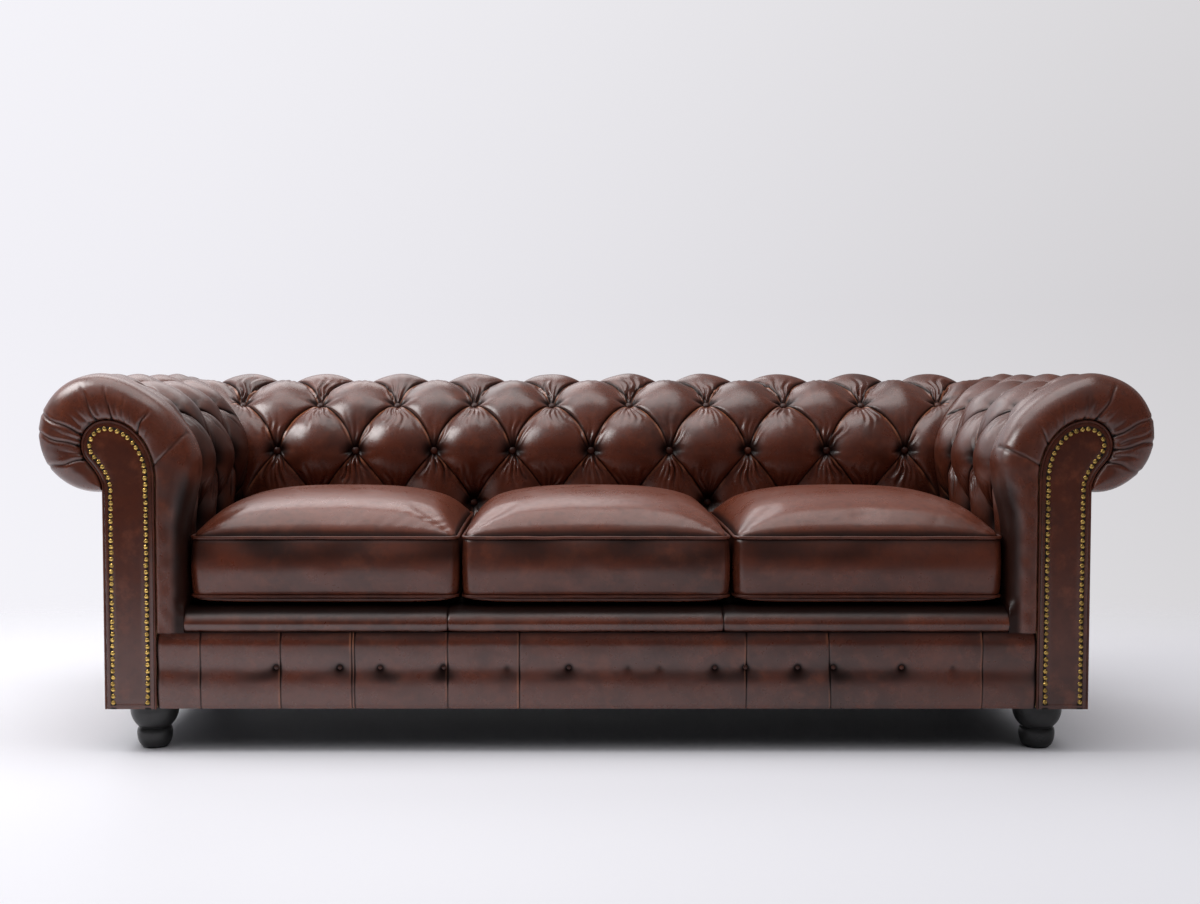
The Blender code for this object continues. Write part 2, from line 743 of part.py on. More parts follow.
def corner_block(side, end):
    """Glue block in a corner of the seat frame, chamfered towards the middle, bored for a foot."""
    if end == "front":
        ys = (RAIL_BACK + GAP, RAIL_BACK + GAP + CORNER_BLOCK_SIDE)
        inwards = 1
    else:
        ys = (REAR_FRONT - GAP - CORNER_BLOCK_SIDE, REAR_FRONT - GAP)
        inwards = -1
    heights = (TIMBER_BOTTOM, TIMBER_BOTTOM + CORNER_BLOCK_HEIGHT)
    insets = (BLOCK_INSET, BLOCK_INSET + CORNER_BLOCK_SIDE)
    block = arm_box(side, f"{end}_corner_block", insets, ys, heights)
    bm = bmesh.new()
    bm.from_mesh(block.data)

    def is_inner(vert):
        return vert.co.x * SIDES[side] < 0 and vert.co.y * inwards > 0

    edges = [edge for edge in bm.edges if all(is_inner(vert) for vert in edge.verts)]
    bmesh.ops.bevel(bm, geom=edges, offset=CORNER_BLOCK_CHAMFER, segments=1, affect="EDGES")
    bm.to_mesh(block.data)
    bm.free()
    cut(block, bpy.data.objects[f"{side}_{end}_stud_hole"])


def foot_centre(side, end):
    x = room_x(side, BLOCK_INSET + CORNER_BLOCK_SIDE / 2)
    margin = FOOT_PROFILE[0][0] + FOOT_MARGIN
    return (x, BOARD_FRONT + margin) if end == "front" else (x, REAR_PLANE - margin)


def stud_hole(side, end):
    """Clearance hole for a foot's hanger bolt, through the dust cover and the corner block."""
    radius = FOOT_STUD_RADIUS + GAP
    depth = 2 * (FOOT_STUD_LENGTH + GAP)
    bm = bmesh.new()
    bmesh.ops.create_cone(
        bm, cap_ends=True, segments=12, radius1=radius, radius2=radius, depth=depth
    )
    data = mesh_data("stud_hole", bm)
    cutter(f"{side}_{end}_stud_hole", data, (*foot_centre(side, end), BASE))


def foot_outline():
    """Half outline of a foot with its hanger bolt, from the bolt's tip down to the floor."""
    top = FOOT_HEIGHT - GAP
    tip = top + FOOT_STUD_LENGTH
    outline = [(0.0, tip), (FOOT_STUD_RADIUS, tip), (FOOT_STUD_RADIUS, top)]
    outline.append((FOOT_PROFILE[0][0], top))
    outline += [(radius, share * FOOT_HEIGHT) for radius, share in FOOT_PROFILE]
    outline.append((0.0, 0.0))
    return outline


def foot(side, end):
    """Turned bun foot whose hanger bolt screws into a corner block."""
    outline = foot_outline()
    data = bpy.data.meshes.new("foot")
    edges = [(i, i + 1) for i in range(len(outline) - 1)]
    data.from_pydata([(radius, 0.0, height) for radius, height in outline], edges, [])
    made = add_part(f"{side}_{end}_foot", data, "foot")
    made.location = (*foot_centre(side, end), 0.0)
    turn = made.modifiers.new("turned", "SCREW")
    turn.steps = FOOT_STEPS
    turn.render_steps = FOOT_STEPS
    turn.use_merge_vertices = True
    turn.merge_threshold = 0.00005


def seat_webbing():
    """Jute webs, crossed and stitched where they meet, tacked to the tops of the seat rails."""
    front = RAIL_BACK - WEB_OVERLAP
    back = REAR_FRONT + WEB_OVERLAP
    reach = HALF_WIDTH - TIMBER_OUT - RAIL_THICKNESS + WEB_OVERLAP
    half = WEB_WIDTH / 2
    ys = [lerp(front, back, (k + 1) / (LENGTHWISE_WEBS + 1)) for k in range(LENGTHWISE_WEBS)]
    x_lines = [-reach] + [x + d for x in web_places() for d in (-half, half)] + [reach]
    y_lines = [front] + [y + d for y in ys for d in (-half, half)] + [back]
    bm = bmesh.new()
    grid = [[bm.verts.new((x, y, 0)) for y in y_lines] for x in x_lines]
    for i in range(len(x_lines) - 1):
        for j in range(len(y_lines) - 1):
            if i % 2 == 1 or j % 2 == 1:
                bm.faces.new((grid[i][j], grid[i + 1][j], grid[i + 1][j + 1], grid[i][j + 1]))
    bmesh.ops.delete(bm, geom=[v for v in bm.verts if not v.link_faces], context="VERTS")
    webs = add_part("seat_webbing", mesh_data("seat_webbing", bm), "webbing")
    webs.location.z = WEB_BOTTOM + WEB_THICKNESS / 2
    solid = webs.modifiers.new("thickness", "SOLIDIFY")
    solid.thickness = WEB_THICKNESS
    solid.offset = 0.0


def seat_platform():
    """Felt-topped sprung platform that the cushions lie on."""
    front = -HALF_DEPTH + LIP_SETBACK + LIP_DEPTH + GAP
    back = HALF_DEPTH - TIMBER_IN - GAP
    high = (TIMBER_REACH, back, DECK_TOP)
    box("seat_platform", (-TIMBER_REACH, front, DECK_BOTTOM), high, "deck")


def front_lip():
    """Leather lip along the front of the platform, rounded at its top and under its nose."""
    front = -HALF_DEPTH + LIP_SETBACK
    back = front + LIP_DEPTH
    outline = [(back, DECK_BOTTOM), (back, DECK_TOP)]
    for k in range(5):
        angle = math.pi / 2 * (1 + k / 4)
        y = front + LIP_ROUND * (1 + math.cos(angle))
        outline.append((y, DECK_TOP - LIP_ROUND * (1 - math.sin(angle))))
    small = LIP_ROUND / 2
    for k in range(4):
        angle = math.pi * (1 + k / 6)
        y = front + small * (1 + math.cos(angle))
        outline.append((y, DECK_BOTTOM + small * (1 + math.sin(angle))))
    end = HALF_WIDTH - ARM_THICKNESS - GAP
    extrusion("front_lip", outline, -end, end, "leather", turn=(90, 0, 90))


def front_border():
    """Leather border over the front rail, with its sewn pleats as shallow grooves."""
    front = FACING_BACK - FRONT_BORDER_THICKNESS
    end = HALF_WIDTH - SHAFT_INSET - GAP
    half = PLEAT_WIDTH / 2
    outline = [(end, FACING_BACK), (-end, FACING_BACK), (-end, front)]
    for share in FRONT_PLEATS:
        x = share * end
        outline += [(x - half, front), (x, front + PLEAT_GROOVE), (x + half, front)]
    outline.append((end, front))
    extrusion("front_border", outline, BASE, WEB_TOP, "leather")


def outside_covers():
    """Outside arm and back panels, and the cloth under the frame."""
    top = NECK_HEIGHT - GAP
    outer_x = HALF_WIDTH - OUTSIDE_SETBACK
    outer_y = HALF_DEPTH - OUTSIDE_SETBACK
    inner_y = outer_y - PANEL_THICKNESS
    for side in SIDES:
        xs = sorted(room_x(side, a) for a in (OUTSIDE_SETBACK, OUTSIDE_SETBACK + PANEL_THICKNESS))
        low = (xs[0], BOARD_FRONT, BASE)
        box(f"{side}_outside_arm", low, (xs[1], inner_y - GAP, top), "leather")
    box("outside_back", (-outer_x, inner_y, BASE), (outer_x, outer_y, top), "leather")
    reach = HALF_WIDTH - TIMBER_OUT
    high = (reach, REAR_PLANE, BASE + DUST_COVER_THICKNESS)
    cloth = box("dust_cover", (-reach, BOARD_FRONT, BASE), high, "dust_cloth")
    for side in SIDES:
        for end in ("front", "rear"):
            cut(cloth, bpy.data.objects[f"{side}_{end}_stud_hole"])


def cushion_plan(half_x, half_y, offset):
    """Cushion plan: a rectangle with round corners and sides drawn in a little between them."""
    radius = CUSHION_CORNER_RADIUS + offset
    a, b = half_x + offset - radius, half_y + offset - radius
    corners = ((a, b), (-a, b), (-a, -b), (a, -b))
    points = []
    for i, (x, y) in enumerate(corners):
        turns = [math.pi / 2 * (i + k / 2) for k in range(3)]
        arc = [(x + radius * math.cos(turn), y + radius * math.sin(turn)) for turn in turns]
        across, up = math.cos(turns[-1]), math.sin(turns[-1])
        after = corners[(i + 1) % 4]
        end = (after[0] + radius * across, after[1] + radius * up)
        points += arc
        for k in range(1, 4):
            draw = CUSHION_SIDE_DRAW * math.sin(math.pi * k / 4)
            x_along, y_along = (lerp(arc[-1][n], end[n], k / 4) for n in (0, 1))
            points.append((x_along - draw * across, y_along - draw * up))
    return points


class Cushion:
    """One loose cushion, which slides out over the lip: cover, two pipings and foam block."""

    def __init__(self, name, centre_x):
        self.margin = CUSHION_CLEARANCE + PIPING_RADIUS + PIPING_SEAT
        front = -HALF_DEPTH + CUSHION_FRONT_SETBACK + self.margin
        back = HALF_DEPTH - ARM_THICKNESS - self.margin
        self.name = name
        self.half_x = SEAT_WIDTH / 2 - self.margin
        self.half_y = (back - front) / 2
        self.slide = bpy.data.objects.new(f"{name}_slide", None)
        self.slide.location = (centre_x, (back + front) / 2, DECK_TOP + GAP)
        PARTS.objects.link(self.slide)

    def ring(self, offset, height, scale=1.0):
        outline = cushion_plan(self.half_x, self.half_y, offset)
        return [(x * scale, y * scale, height) for x, y in outline]

    def cover(self):
        """Crowned cover with a notch round each of its edges, where the pipings lie."""
        low, high = CUSHION_WELT_LOW, CUSHION_WELT_LOW + CUSHION_SIDE_HEIGHT
        rings = [
            self.ring(-CUSHION_BOTTOM_ROUND, 0.0),
            self.ring(0.0, low - NOTCH_DEPTH),
            self.ring(-NOTCH_DEPTH, low),
            self.ring(0.0, low + NOTCH_DEPTH),
            self.ring(0.0, high - NOTCH_DEPTH),
            self.ring(-NOTCH_DEPTH, high),
        ]
        for scale in CROWN_RINGS:
            rise = CUSHION_CROWN * (1 - scale**CROWN_POWER) + NOTCH_DEPTH * scale
            rings.append(self.ring(0.0, high + rise, scale))
        return loft(f"{self.name}_cover", rings, "leather", 50, self.slide)

    def filling(self, cover):
        """Foam block, and the hollow and the zip slot that it needs in the cover."""
        x, y = self.half_x - COVER_WALL, self.half_y - COVER_WALL
        high = CUSHION_WELT_LOW + CUSHION_SIDE_HEIGHT
        low_corner, high_corner = (-x, -y, COVER_FLOOR), (x, y, high)
        box(f"{self.name}_foam", low_corner, high_corner, "foam", self.slide)
        grown = [v - GAP for v in low_corner], [v + GAP for v in high_corner]
        cut(cover, cutter(f"{self.name}_hollow", *cuboid("hollow", *grown), self.slide))
        middle = CUSHION_WELT_LOW + CUSHION_SIDE_HEIGHT / 2
        slot_low = (-ZIP_WIDTH / 2, y - GAP, middle - ZIP_HEIGHT / 2)
        slot_high = (ZIP_WIDTH / 2, self.half_y + self.margin, middle + ZIP_HEIGHT / 2)
        slot = cuboid("zip_slot", slot_low, slot_high)
        cut(cover, cutter(f"{self.name}_zip_slot", *slot, self.slide))

    def pipings(self):
        """Round pipings, seated against the two slopes of their notches."""
        edges = {"bottom": CUSHION_WELT_LOW, "top": CUSHION_WELT_LOW + CUSHION_SIDE_HEIGHT}
        for edge, height in edges.items():
            name = f"{self.name}_{edge}_piping"
            points = self.ring(PIPING_SEAT, height)
            cord(name, points, PIPING_RADIUS, "leather_dark", True, self.slide)

    def build(self):
        self.filling(self.cover())
        self.pipings()


def cushions():
    for k, name in enumerate(CUSHION_NAMES):
        Cushion(f"{name}_cushion", (k - (len(CUSHION_NAMES) - 1) / 2) * SEAT_WIDTH).build()


def main():
    for side in SIDES:
        for end in ("front", "rear"):
            stud_hole(side, end)
            corner_block(side, end)
            foot(side, end)
        arm_timber(side)
        inside_arm(side)
        scroll_border(side)
        arm_facing(side)
        nail_trim(side)
    seat_rails()
    back_timber()
    inside_back()
    outside_covers()
    seat_webbing()
    seat_platform()
    front_lip()
    front_border()
    cushions()


clear_scene()
PARTS = collection("chesterfield_sofa")
CUTTERS = collection("cutters")
main()
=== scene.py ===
"""Looks of a three-seat chesterfield sofa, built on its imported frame.

Metres, +Z up, +X to the viewer's right, the front faces -Y. An inset is a distance inwards from the
outermost line of the roll. Leather, buttons, nails and cloth stand in for the frame's soft solids.
"""

from __future__ import annotations

import logging
import math
from dataclasses import dataclass, field
from enum import Enum
from typing import Callable, Iterable, Sequence

import bmesh
import bpy
import numpy as np
from mathutils import Matrix, Vector


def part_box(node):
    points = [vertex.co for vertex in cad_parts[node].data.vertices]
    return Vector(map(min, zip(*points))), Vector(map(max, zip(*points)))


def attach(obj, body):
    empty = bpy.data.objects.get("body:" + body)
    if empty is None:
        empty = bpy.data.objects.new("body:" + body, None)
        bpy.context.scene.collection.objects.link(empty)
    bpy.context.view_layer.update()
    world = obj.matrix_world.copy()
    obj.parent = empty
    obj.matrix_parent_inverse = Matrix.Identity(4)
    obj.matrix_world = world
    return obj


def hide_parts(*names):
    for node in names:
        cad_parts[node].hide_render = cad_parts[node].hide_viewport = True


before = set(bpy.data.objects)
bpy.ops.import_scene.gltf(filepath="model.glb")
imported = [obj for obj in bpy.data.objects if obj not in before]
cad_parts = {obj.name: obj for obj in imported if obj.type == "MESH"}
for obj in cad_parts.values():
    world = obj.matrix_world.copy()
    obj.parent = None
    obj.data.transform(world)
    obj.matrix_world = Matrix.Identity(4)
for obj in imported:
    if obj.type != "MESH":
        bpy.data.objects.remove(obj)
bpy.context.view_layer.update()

Array = np.ndarray
Numbers = Array | float
Layers = dict[str, Array]
Mesh = bmesh.types.BMesh
Colour = tuple[float, float, float]
Socket = bpy.types.NodeSocket
log = logging.getLogger("chesterfield")


class Side(Enum):
    """The two arms, and which way X grows towards each."""

    LEFT = -1
    RIGHT = 1

    @property
    def word(self) -> str:
        """The side's name as the frame's nodes spell it."""
        return self.name.lower()


class Slot(Enum):
    """Material slots of the record."""

    LEATHER = "leather"
    FACING = "leather_facing"
    BRASS = "brass_nails"
    FOOT = "black_foot"
    HARDWOOD = "hardwood"
    WEBBING = "jute_webbing"
    DECK = "deck_cloth"
    DUST_CLOTH = "dust_cloth"


# Small maths


def lerp(a: Numbers, b: Numbers, t: Numbers) -> Numbers:
    """The value a share t of the way from a to b."""
    return a + (b - a) * t


def smoothstep(value: Numbers) -> Numbers:
    """A soft step from 0 to 1."""
    t = np.clip(value, 0.0, 1.0)
    return t * t * (3 - 2 * t)


def fade(value: Numbers, width: Numbers) -> Numbers:
    """A soft step from 1 at 0 down to 0 at the width."""
    return 1 - smoothstep(value / width)


def bell(value: Numbers, width: Numbers) -> Numbers:
    """A smooth bump, 1 at 0 and low beyond the width."""
    return np.exp(-((value / width) ** 2))


def from_ends(places: Numbers, low: float, high: float) -> Numbers:
    """Distance to the nearer of two ends."""
    return np.minimum(places - low, high - places)


SCATTER_RATES = (12.9898, 78.233, 37.719, 93.989)
SCATTER_SCALE = 43758.5453


def scatter(*numbers: Numbers) -> Numbers:
    """A repeatable number from 0 to 1 for each set of whole numbers."""
    total = sum(number * rate for number, rate in zip(numbers, SCATTER_RATES))
    return np.mod(np.sin(total) * SCATTER_SCALE, 1.0)


def ripple(u: Array, v: Numbers, seed: int, waves: int = 6) -> Array:
    """Smooth unevenness from -1 to 1.

    Args:
        u: First place, in wavelengths.
        v: Second place, in wavelengths.
        seed: Picks the waves.
        waves: How many sine waves are added.

    Returns:
        The height of the unevenness at each place.
    """
    rng = np.random.default_rng(seed)
    total = np.zeros(np.broadcast(u, v).shape)
    for _ in range(waves):
        turn, phase = rng.uniform(0, 2 * math.pi, 2)
        rate = rng.uniform(0.6, 1.5) * 2 * math.pi
        total += np.sin(rate * (u * math.cos(turn) + v * math.sin(turn)) + phase)
    return total / waves


def smooth_line(keys: Sequence[Sequence[float]], per_span: int) -> Array:
    """A smooth line through the keys.

    Args:
        keys: The points that the line passes through.
        per_span: How many points it has between one key and the next.

    Returns:
        The points of the line, with both ends.
    """
    p = np.array(keys, float)
    p = np.vstack([2 * p[0] - p[1], p, 2 * p[-1] - p[-2]])
    t = np.linspace(0, 1, per_span, endpoint=False)[:, None]
    spans = []
    for a, b, c, d in zip(p, p[1:], p[2:], p[3:]):
        curve = 2 * b + (c - a) * t + (2 * a - 5 * b + 4 * c - d) * t**2
        spans.append((curve + (3 * b - a - 3 * c + d) * t**3) / 2)
    return np.vstack([*spans, p[-2:-1]])


def swell(shares: Array, closeness: float) -> Array:
    """Shares from 0 to 1 drawn closer together at both ends."""
    return shares - closeness * np.sin(2 * math.pi * shares) / (2 * math.pi)


class Path:
    """A flat line of (inset, height) points, read by its arc length."""

    def __init__(self, points: Sequence[Sequence[float]]) -> None:
        """Measure the line.

        Args:
            points: The points that it runs through.
        """
        self.points = np.array(points, float)
        steps = np.linalg.norm(np.diff(self.points, axis=0), axis=1)
        self.lengths = np.concatenate([[0.0], np.cumsum(steps)])
        self.length = float(self.lengths[-1])

    def at(self, s: Array) -> tuple[Array, Array]:
        """Insets and heights at the arc lengths."""
        return tuple(np.interp(s, self.lengths, self.points[:, axis]) for axis in (0, 1))

    def normal(self, s: Array, reach: float = 0.004) -> tuple[Array, Array]:
        """Unit normals, which point to the seat on the inner face of an arm.

        Args:
            s: Arc lengths.
            reach: How far to each side the slope is taken.

        Returns:
            Their parts along the inset and along the height.
        """
        a = self.at(np.maximum(np.asarray(s) - reach, 0.0))
        b = self.at(np.minimum(np.asarray(s) + reach, self.length))
        across, up = b[1] - a[1], a[0] - b[0]
        size = np.hypot(across, up)
        return across / size, up / size

    def nearest(self, target: Sequence[float]) -> float:
        """Arc length of the vertex nearest to the target."""
        return float(self.lengths[np.argmin(np.linalg.norm(self.points - target, axis=1))])


# Sizes that the looks share with the solids


@dataclass(frozen=True)
class Sizes:
    """Driving sizes of the arms, the back and the seat."""

    half_width: float = 1.12
    half_depth: float = 0.46
    base: float = 0.089
    roll_top: float = 0.76
    gap: float = 0.0003
    roll_radius: float = 0.12
    roll_tuck: float = 0.017
    facing_width: float = 0.104
    pad: float = 0.057
    shoulder_lean: float = 0.024
    shoulder_drop: float = 0.18
    shoulder_power: float = 1.7
    lean_run: float = 0.15
    pad_bottom: float = 0.3012
    deck_bottom: float = 0.2429
    border_depth: float = 0.08
    facing_recess: float = 0.01
    facing_thickness: float = 0.0112
    welt_radius: float = 0.0024

    @property
    def roll_centre(self) -> float:
        """Height of the roll's centre."""
        return self.roll_top - self.roll_radius

    @property
    def outside(self) -> float:
        """Inset of the outside panels."""
        return self.roll_radius + self.roll_tuck

    @property
    def shaft(self) -> float:
        """Inset of the facing's inner edge."""
        return self.outside + self.facing_width

    @property
    def arm(self) -> float:
        """Thickness of an arm at seat level."""
        return self.shaft + self.pad

    @property
    def shoulder(self) -> float:
        """Inset of the roll's shoulder."""
        return self.arm + self.shoulder_lean

    @property
    def shoulder_height(self) -> float:
        """Height at which the inner face starts to roll over."""
        return self.roll_top - self.shoulder_drop

    @property
    def facing_front(self) -> float:
        """Depth of the facing's front plane."""
        return -self.half_depth + self.facing_recess

    @property
    def border_rear(self) -> float:
        """Depth at which the scroll border meets the buttoned arm."""
        return -self.half_depth + self.border_depth

    def room_x(self, side: Side, inset: Numbers) -> Numbers:
        """Where an inset of an arm lies in the room."""
        return side.value * (self.half_width - inset)


SIZES = Sizes()


def roll_path(sizes: Sizes) -> Path:
    """From seat level up the inner face, over the roll and round to its underside.

    Args:
        sizes: The driving sizes.

    Returns:
        The profile that the arms and the back share.
    """
    lean_start = sizes.shoulder_height - sizes.lean_run
    shares = np.linspace(0, 1, 25)
    lean = (1 - np.cos(math.pi * shares)) / 2
    insets = [[sizes.arm], lerp(sizes.arm, sizes.shoulder, lean)]
    heights = [[sizes.pad_bottom], lean_start + sizes.lean_run * shares]
    angle = np.linspace(0, math.pi / 2, 90)[1:]
    power = 2 / sizes.shoulder_power
    reach = sizes.shoulder - sizes.roll_radius
    insets.append(sizes.roll_radius + reach * np.maximum(np.cos(angle), 0) ** power)
    heights.append(sizes.shoulder_height + sizes.shoulder_drop * np.sin(angle) ** power)
    underside = 2 * math.pi - math.acos((sizes.roll_tuck - sizes.gap) / sizes.roll_radius)
    angle = np.linspace(math.pi / 2, underside, 100)[1:]
    insets.append(sizes.roll_radius * (1 + np.cos(angle)))
    heights.append(sizes.roll_centre + sizes.roll_radius * np.sin(angle))
    return Path(np.column_stack([np.concatenate(insets), np.concatenate(heights)]))


ROLL = roll_path(SIZES)
CREST = ROLL.nearest((SIZES.roll_radius, SIZES.roll_top))
OUTERMOST = ROLL.nearest((0.0, SIZES.roll_centre))


@dataclass(frozen=True)
class Scroll:
    """Outline of an arm facing: a straight shaft, a neck and a round head."""

    sizes: Sizes = SIZES
    head_shift: float = 0.01
    head_drop: float = 0.023
    head_radius: float = 0.05
    join_angle: float = math.radians(222)
    neck_drop: float = 0.087
    neck_bend: float = 1.1
    shoulder_drop: float = 0.067
    neck_steps: int = 16
    head_steps: int = 36
    shoulder_steps: int = 40

    @property
    def centre(self) -> tuple[float, float]:
        """Inset and height of the head's centre."""
        return self.sizes.outside + self.head_shift, self.sizes.roll_centre - self.head_drop

    def path(self, grow: float) -> Path:
        """The outline, from its outer foot up, round the head and down.

        Args:
            grow: How far the whole outline moves outwards.

        Returns:
            The outline as a path.
        """
        outer = self.sizes.outside - grow
        middle, height = self.centre
        radius = self.head_radius + grow
        joint = np.array([math.cos(self.join_angle), math.sin(self.join_angle)]) * radius
        joint += self.centre
        neck = np.array([outer, height - self.neck_drop])
        pull = (joint[1] - neck[1]) * self.neck_bend
        leave = np.array([0.0, pull])
        arrive = np.array([math.sin(self.join_angle), -math.cos(self.join_angle)]) * pull
        t = np.linspace(0, 1, self.neck_steps + 1)[1:, None]
        bend = (2 * t**3 - 3 * t**2 + 1) * neck + (t**3 - 2 * t**2 + t) * leave
        bend += (3 * t**2 - 2 * t**3) * joint + (t**3 - t**2) * arrive
        angle = np.linspace(self.join_angle, math.pi / 2, self.head_steps + 1)[1:]
        head = np.column_stack([middle + radius * np.cos(angle), height + radius * np.sin(angle)])
        angle = np.linspace(math.pi / 2, 0, self.shoulder_steps + 1)[1:]
        reach = self.sizes.shaft + grow - middle
        climb = self.shoulder_drop + radius
        fall = height - self.shoulder_drop + climb * np.sin(angle)
        shoulder = np.column_stack([middle + reach * np.cos(angle), fall])
        foot = (self.sizes.shaft + grow, self.sizes.base)
        return Path(np.vstack([(outer, self.sizes.base), neck, bend, head, shoulder, foot]))


# Shader maths


class Value:
    """A number or colour socket. Arithmetic on it adds Math nodes."""

    def __init__(self, tree: Tree, socket: Socket) -> None:
        """Wrap an output socket of the tree."""
        self.tree = tree
        self.socket = socket

    def __add__(self, other: Value | float) -> Value:
        """Sum."""
        return self.tree.maths("ADD", self, other)

    __radd__ = __add__

    def __sub__(self, other: Value | float) -> Value:
        """Difference."""
        return self.tree.maths("SUBTRACT", self, other)

    def __rsub__(self, other: float) -> Value:
        """Difference from a number."""
        return self.tree.maths("SUBTRACT", other, self)

    def __mul__(self, other: Value | float) -> Value:
        """Product."""
        return self.tree.maths("MULTIPLY", self, other)

    __rmul__ = __mul__

    def between(self, low: float, high: float) -> Value:
        """A soft step.

        Args:
            low: The value where it starts, at 0.
            high: The value where it ends, at 1.

        Returns:
            The step's height.
        """
        sockets = {"Value": self, "From Min": low, "From Max": high}
        made = self.tree.node("MapRange", {"interpolation_type": "SMOOTHSTEP"}, sockets)
        return Value(self.tree, made.outputs[0])


class Tree:
    """A node tree, and the one way in which nodes are added to it."""

    def __init__(self, tree: bpy.types.NodeTree) -> None:
        """Start from an empty tree."""
        self.tree = tree
        self.tree.nodes.clear()

    def node(self, kind: str, settings: dict | None = None, sockets: dict | None = None) -> bpy.types.Node:
        """Add a node.

        Args:
            kind: The node's type without its ShaderNode prefix.
            settings: Its own settings, set before the sockets.
            sockets: A value, a Value or an output socket for each input, by name or number.

        Returns:
            The node.
        """
        made = self.tree.nodes.new(f"ShaderNode{kind}")
        for key, value in (settings or {}).items():
            setattr(made, key, value)
        for key, value in (sockets or {}).items():
            if isinstance(value, Value):
                value = value.socket
            if isinstance(value, Socket):
                self.tree.links.new(value, made.inputs[key])
            else:
                made.inputs[key].default_value = value
        return made

    def maths(self, operation: str, *operands: Value | float) -> Value:
        """A Math node on one or two operands."""
        made = self.node("Math", {"operation": operation}, dict(enumerate(operands)))
        return Value(self, made.outputs[0])

    def coordinates(self, stretch: Sequence[float] = (1, 1, 1), turn: float = 0.0) -> Socket:
        """Object coordinates.

        Args:
            stretch: Their scale along each axis.
            turn: Their turn about Z.

        Returns:
            The place on the object.
        """
        place = self.node("TexCoord").outputs["Object"]
        sockets = {"Vector": place, "Scale": stretch, "Rotation": (0, 0, turn)}
        return self.node("Mapping", None, sockets).outputs[0]

    def split(self, place: Socket) -> list[Value]:
        """The three coordinates of a place."""
        return [Value(self, part) for part in self.node("SeparateXYZ", None, {0: place}).outputs]

    def noise(self, place: Socket, scale: float, detail: float = 3, rough: float = 0.55) -> Value:
        """Fractal noise from 0 to 1 on a place."""
        sockets = {"Vector": place, "Scale": scale, "Detail": detail, "Roughness": rough}
        return Value(self, self.node("TexNoise", None, sockets).outputs[0])

    def cells(self, place: Socket, scale: float) -> Value:
        """Distance to the nearest point of a random set."""
        made = self.node("TexVoronoi", None, {"Vector": place, "Scale": scale})
        return Value(self, made.outputs["Distance"])

    def wave(self, place: Socket, axis: str, scale: float, wander: float = 0.0) -> Value:
        """Sine bands.

        Args:
            place: Where they are read.
            axis: The axis that they cross.
            scale: How many there are.
            wander: How far they stray.

        Returns:
            Their height, from 0 to 1.
        """
        settings = {"wave_type": "BANDS", "bands_direction": axis}
        sockets = {"Vector": place, "Scale": scale, "Distortion": wander, "Detail": 2}
        return Value(self, self.node("TexWave", settings, sockets).outputs["Fac"])

    def attribute(self, name: str) -> Value:
        """A number that the piece's own points carry."""
        made = self.node("Attribute", {"attribute_name": name})
        return Value(self, made.outputs["Fac"])

    def mix(self, share: Value | float, a: Value | Colour, b: Value | Colour) -> Value:
        """A colour between two others.

        Args:
            share: How much of b there is.
            a: The colour at 0.
            b: The colour at 1.

        Returns:
            The colour.
        """
        a, b = (c if isinstance(c, Value) else (*c, 1.0) for c in (a, b))
        made = self.node("Mix", {"data_type": "RGBA"}, {0: share, 6: a, 7: b})
        return Value(self, made.outputs[2])

    def bump(self, height: Value, distance: float = 0.001) -> Socket:
        """Normals of a height, where 1 is the distance in metres."""
        sockets = {"Height": height, "Distance": distance, "Strength": 1.0}
        return self.node("Bump", None, sockets).outputs[0]


# Finishes


@dataclass(frozen=True)
class Finish:
    """A surface finish: the record's slot, and the numbers that are the same all over."""

    name: str
    slot: Slot
    colour: Colour
    roughness: float = 0.5
    metallic: float = 0.0
    coat: float = 0.0
    coat_roughness: float = 0.2
    specular: float = 0.5

    def surface(self, tree: Tree) -> dict[str, Value | Socket]:
        """What changes over the surface, as the shader's sockets."""
        raise NotImplementedError

    def shader(self, tree: Tree, sockets: dict) -> Socket:
        """The shader of the whole surface."""
        return tree.node("BsdfPrincipled", None, sockets).outputs[0]

    def build(self) -> bpy.types.Material:
        """Make the material, once.

        Returns:
            The material.
        """
        if self.name in bpy.data.materials:
            return bpy.data.materials[self.name]
        made = bpy.data.materials.new(self.name)
        made.use_nodes = True
        tree = Tree(made.node_tree)
        sockets = {
            "Base Color": (*self.colour, 1.0),
            "Roughness": self.roughness,
            "Metallic": self.metallic,
            "Coat Weight": self.coat,
            "Coat Roughness": self.coat_roughness,
            "Specular IOR Level": self.specular,
        }
        sockets.update(self.surface(tree))
        tree.node("OutputMaterial", None, {"Surface": self.shader(tree, sockets)})
        return made


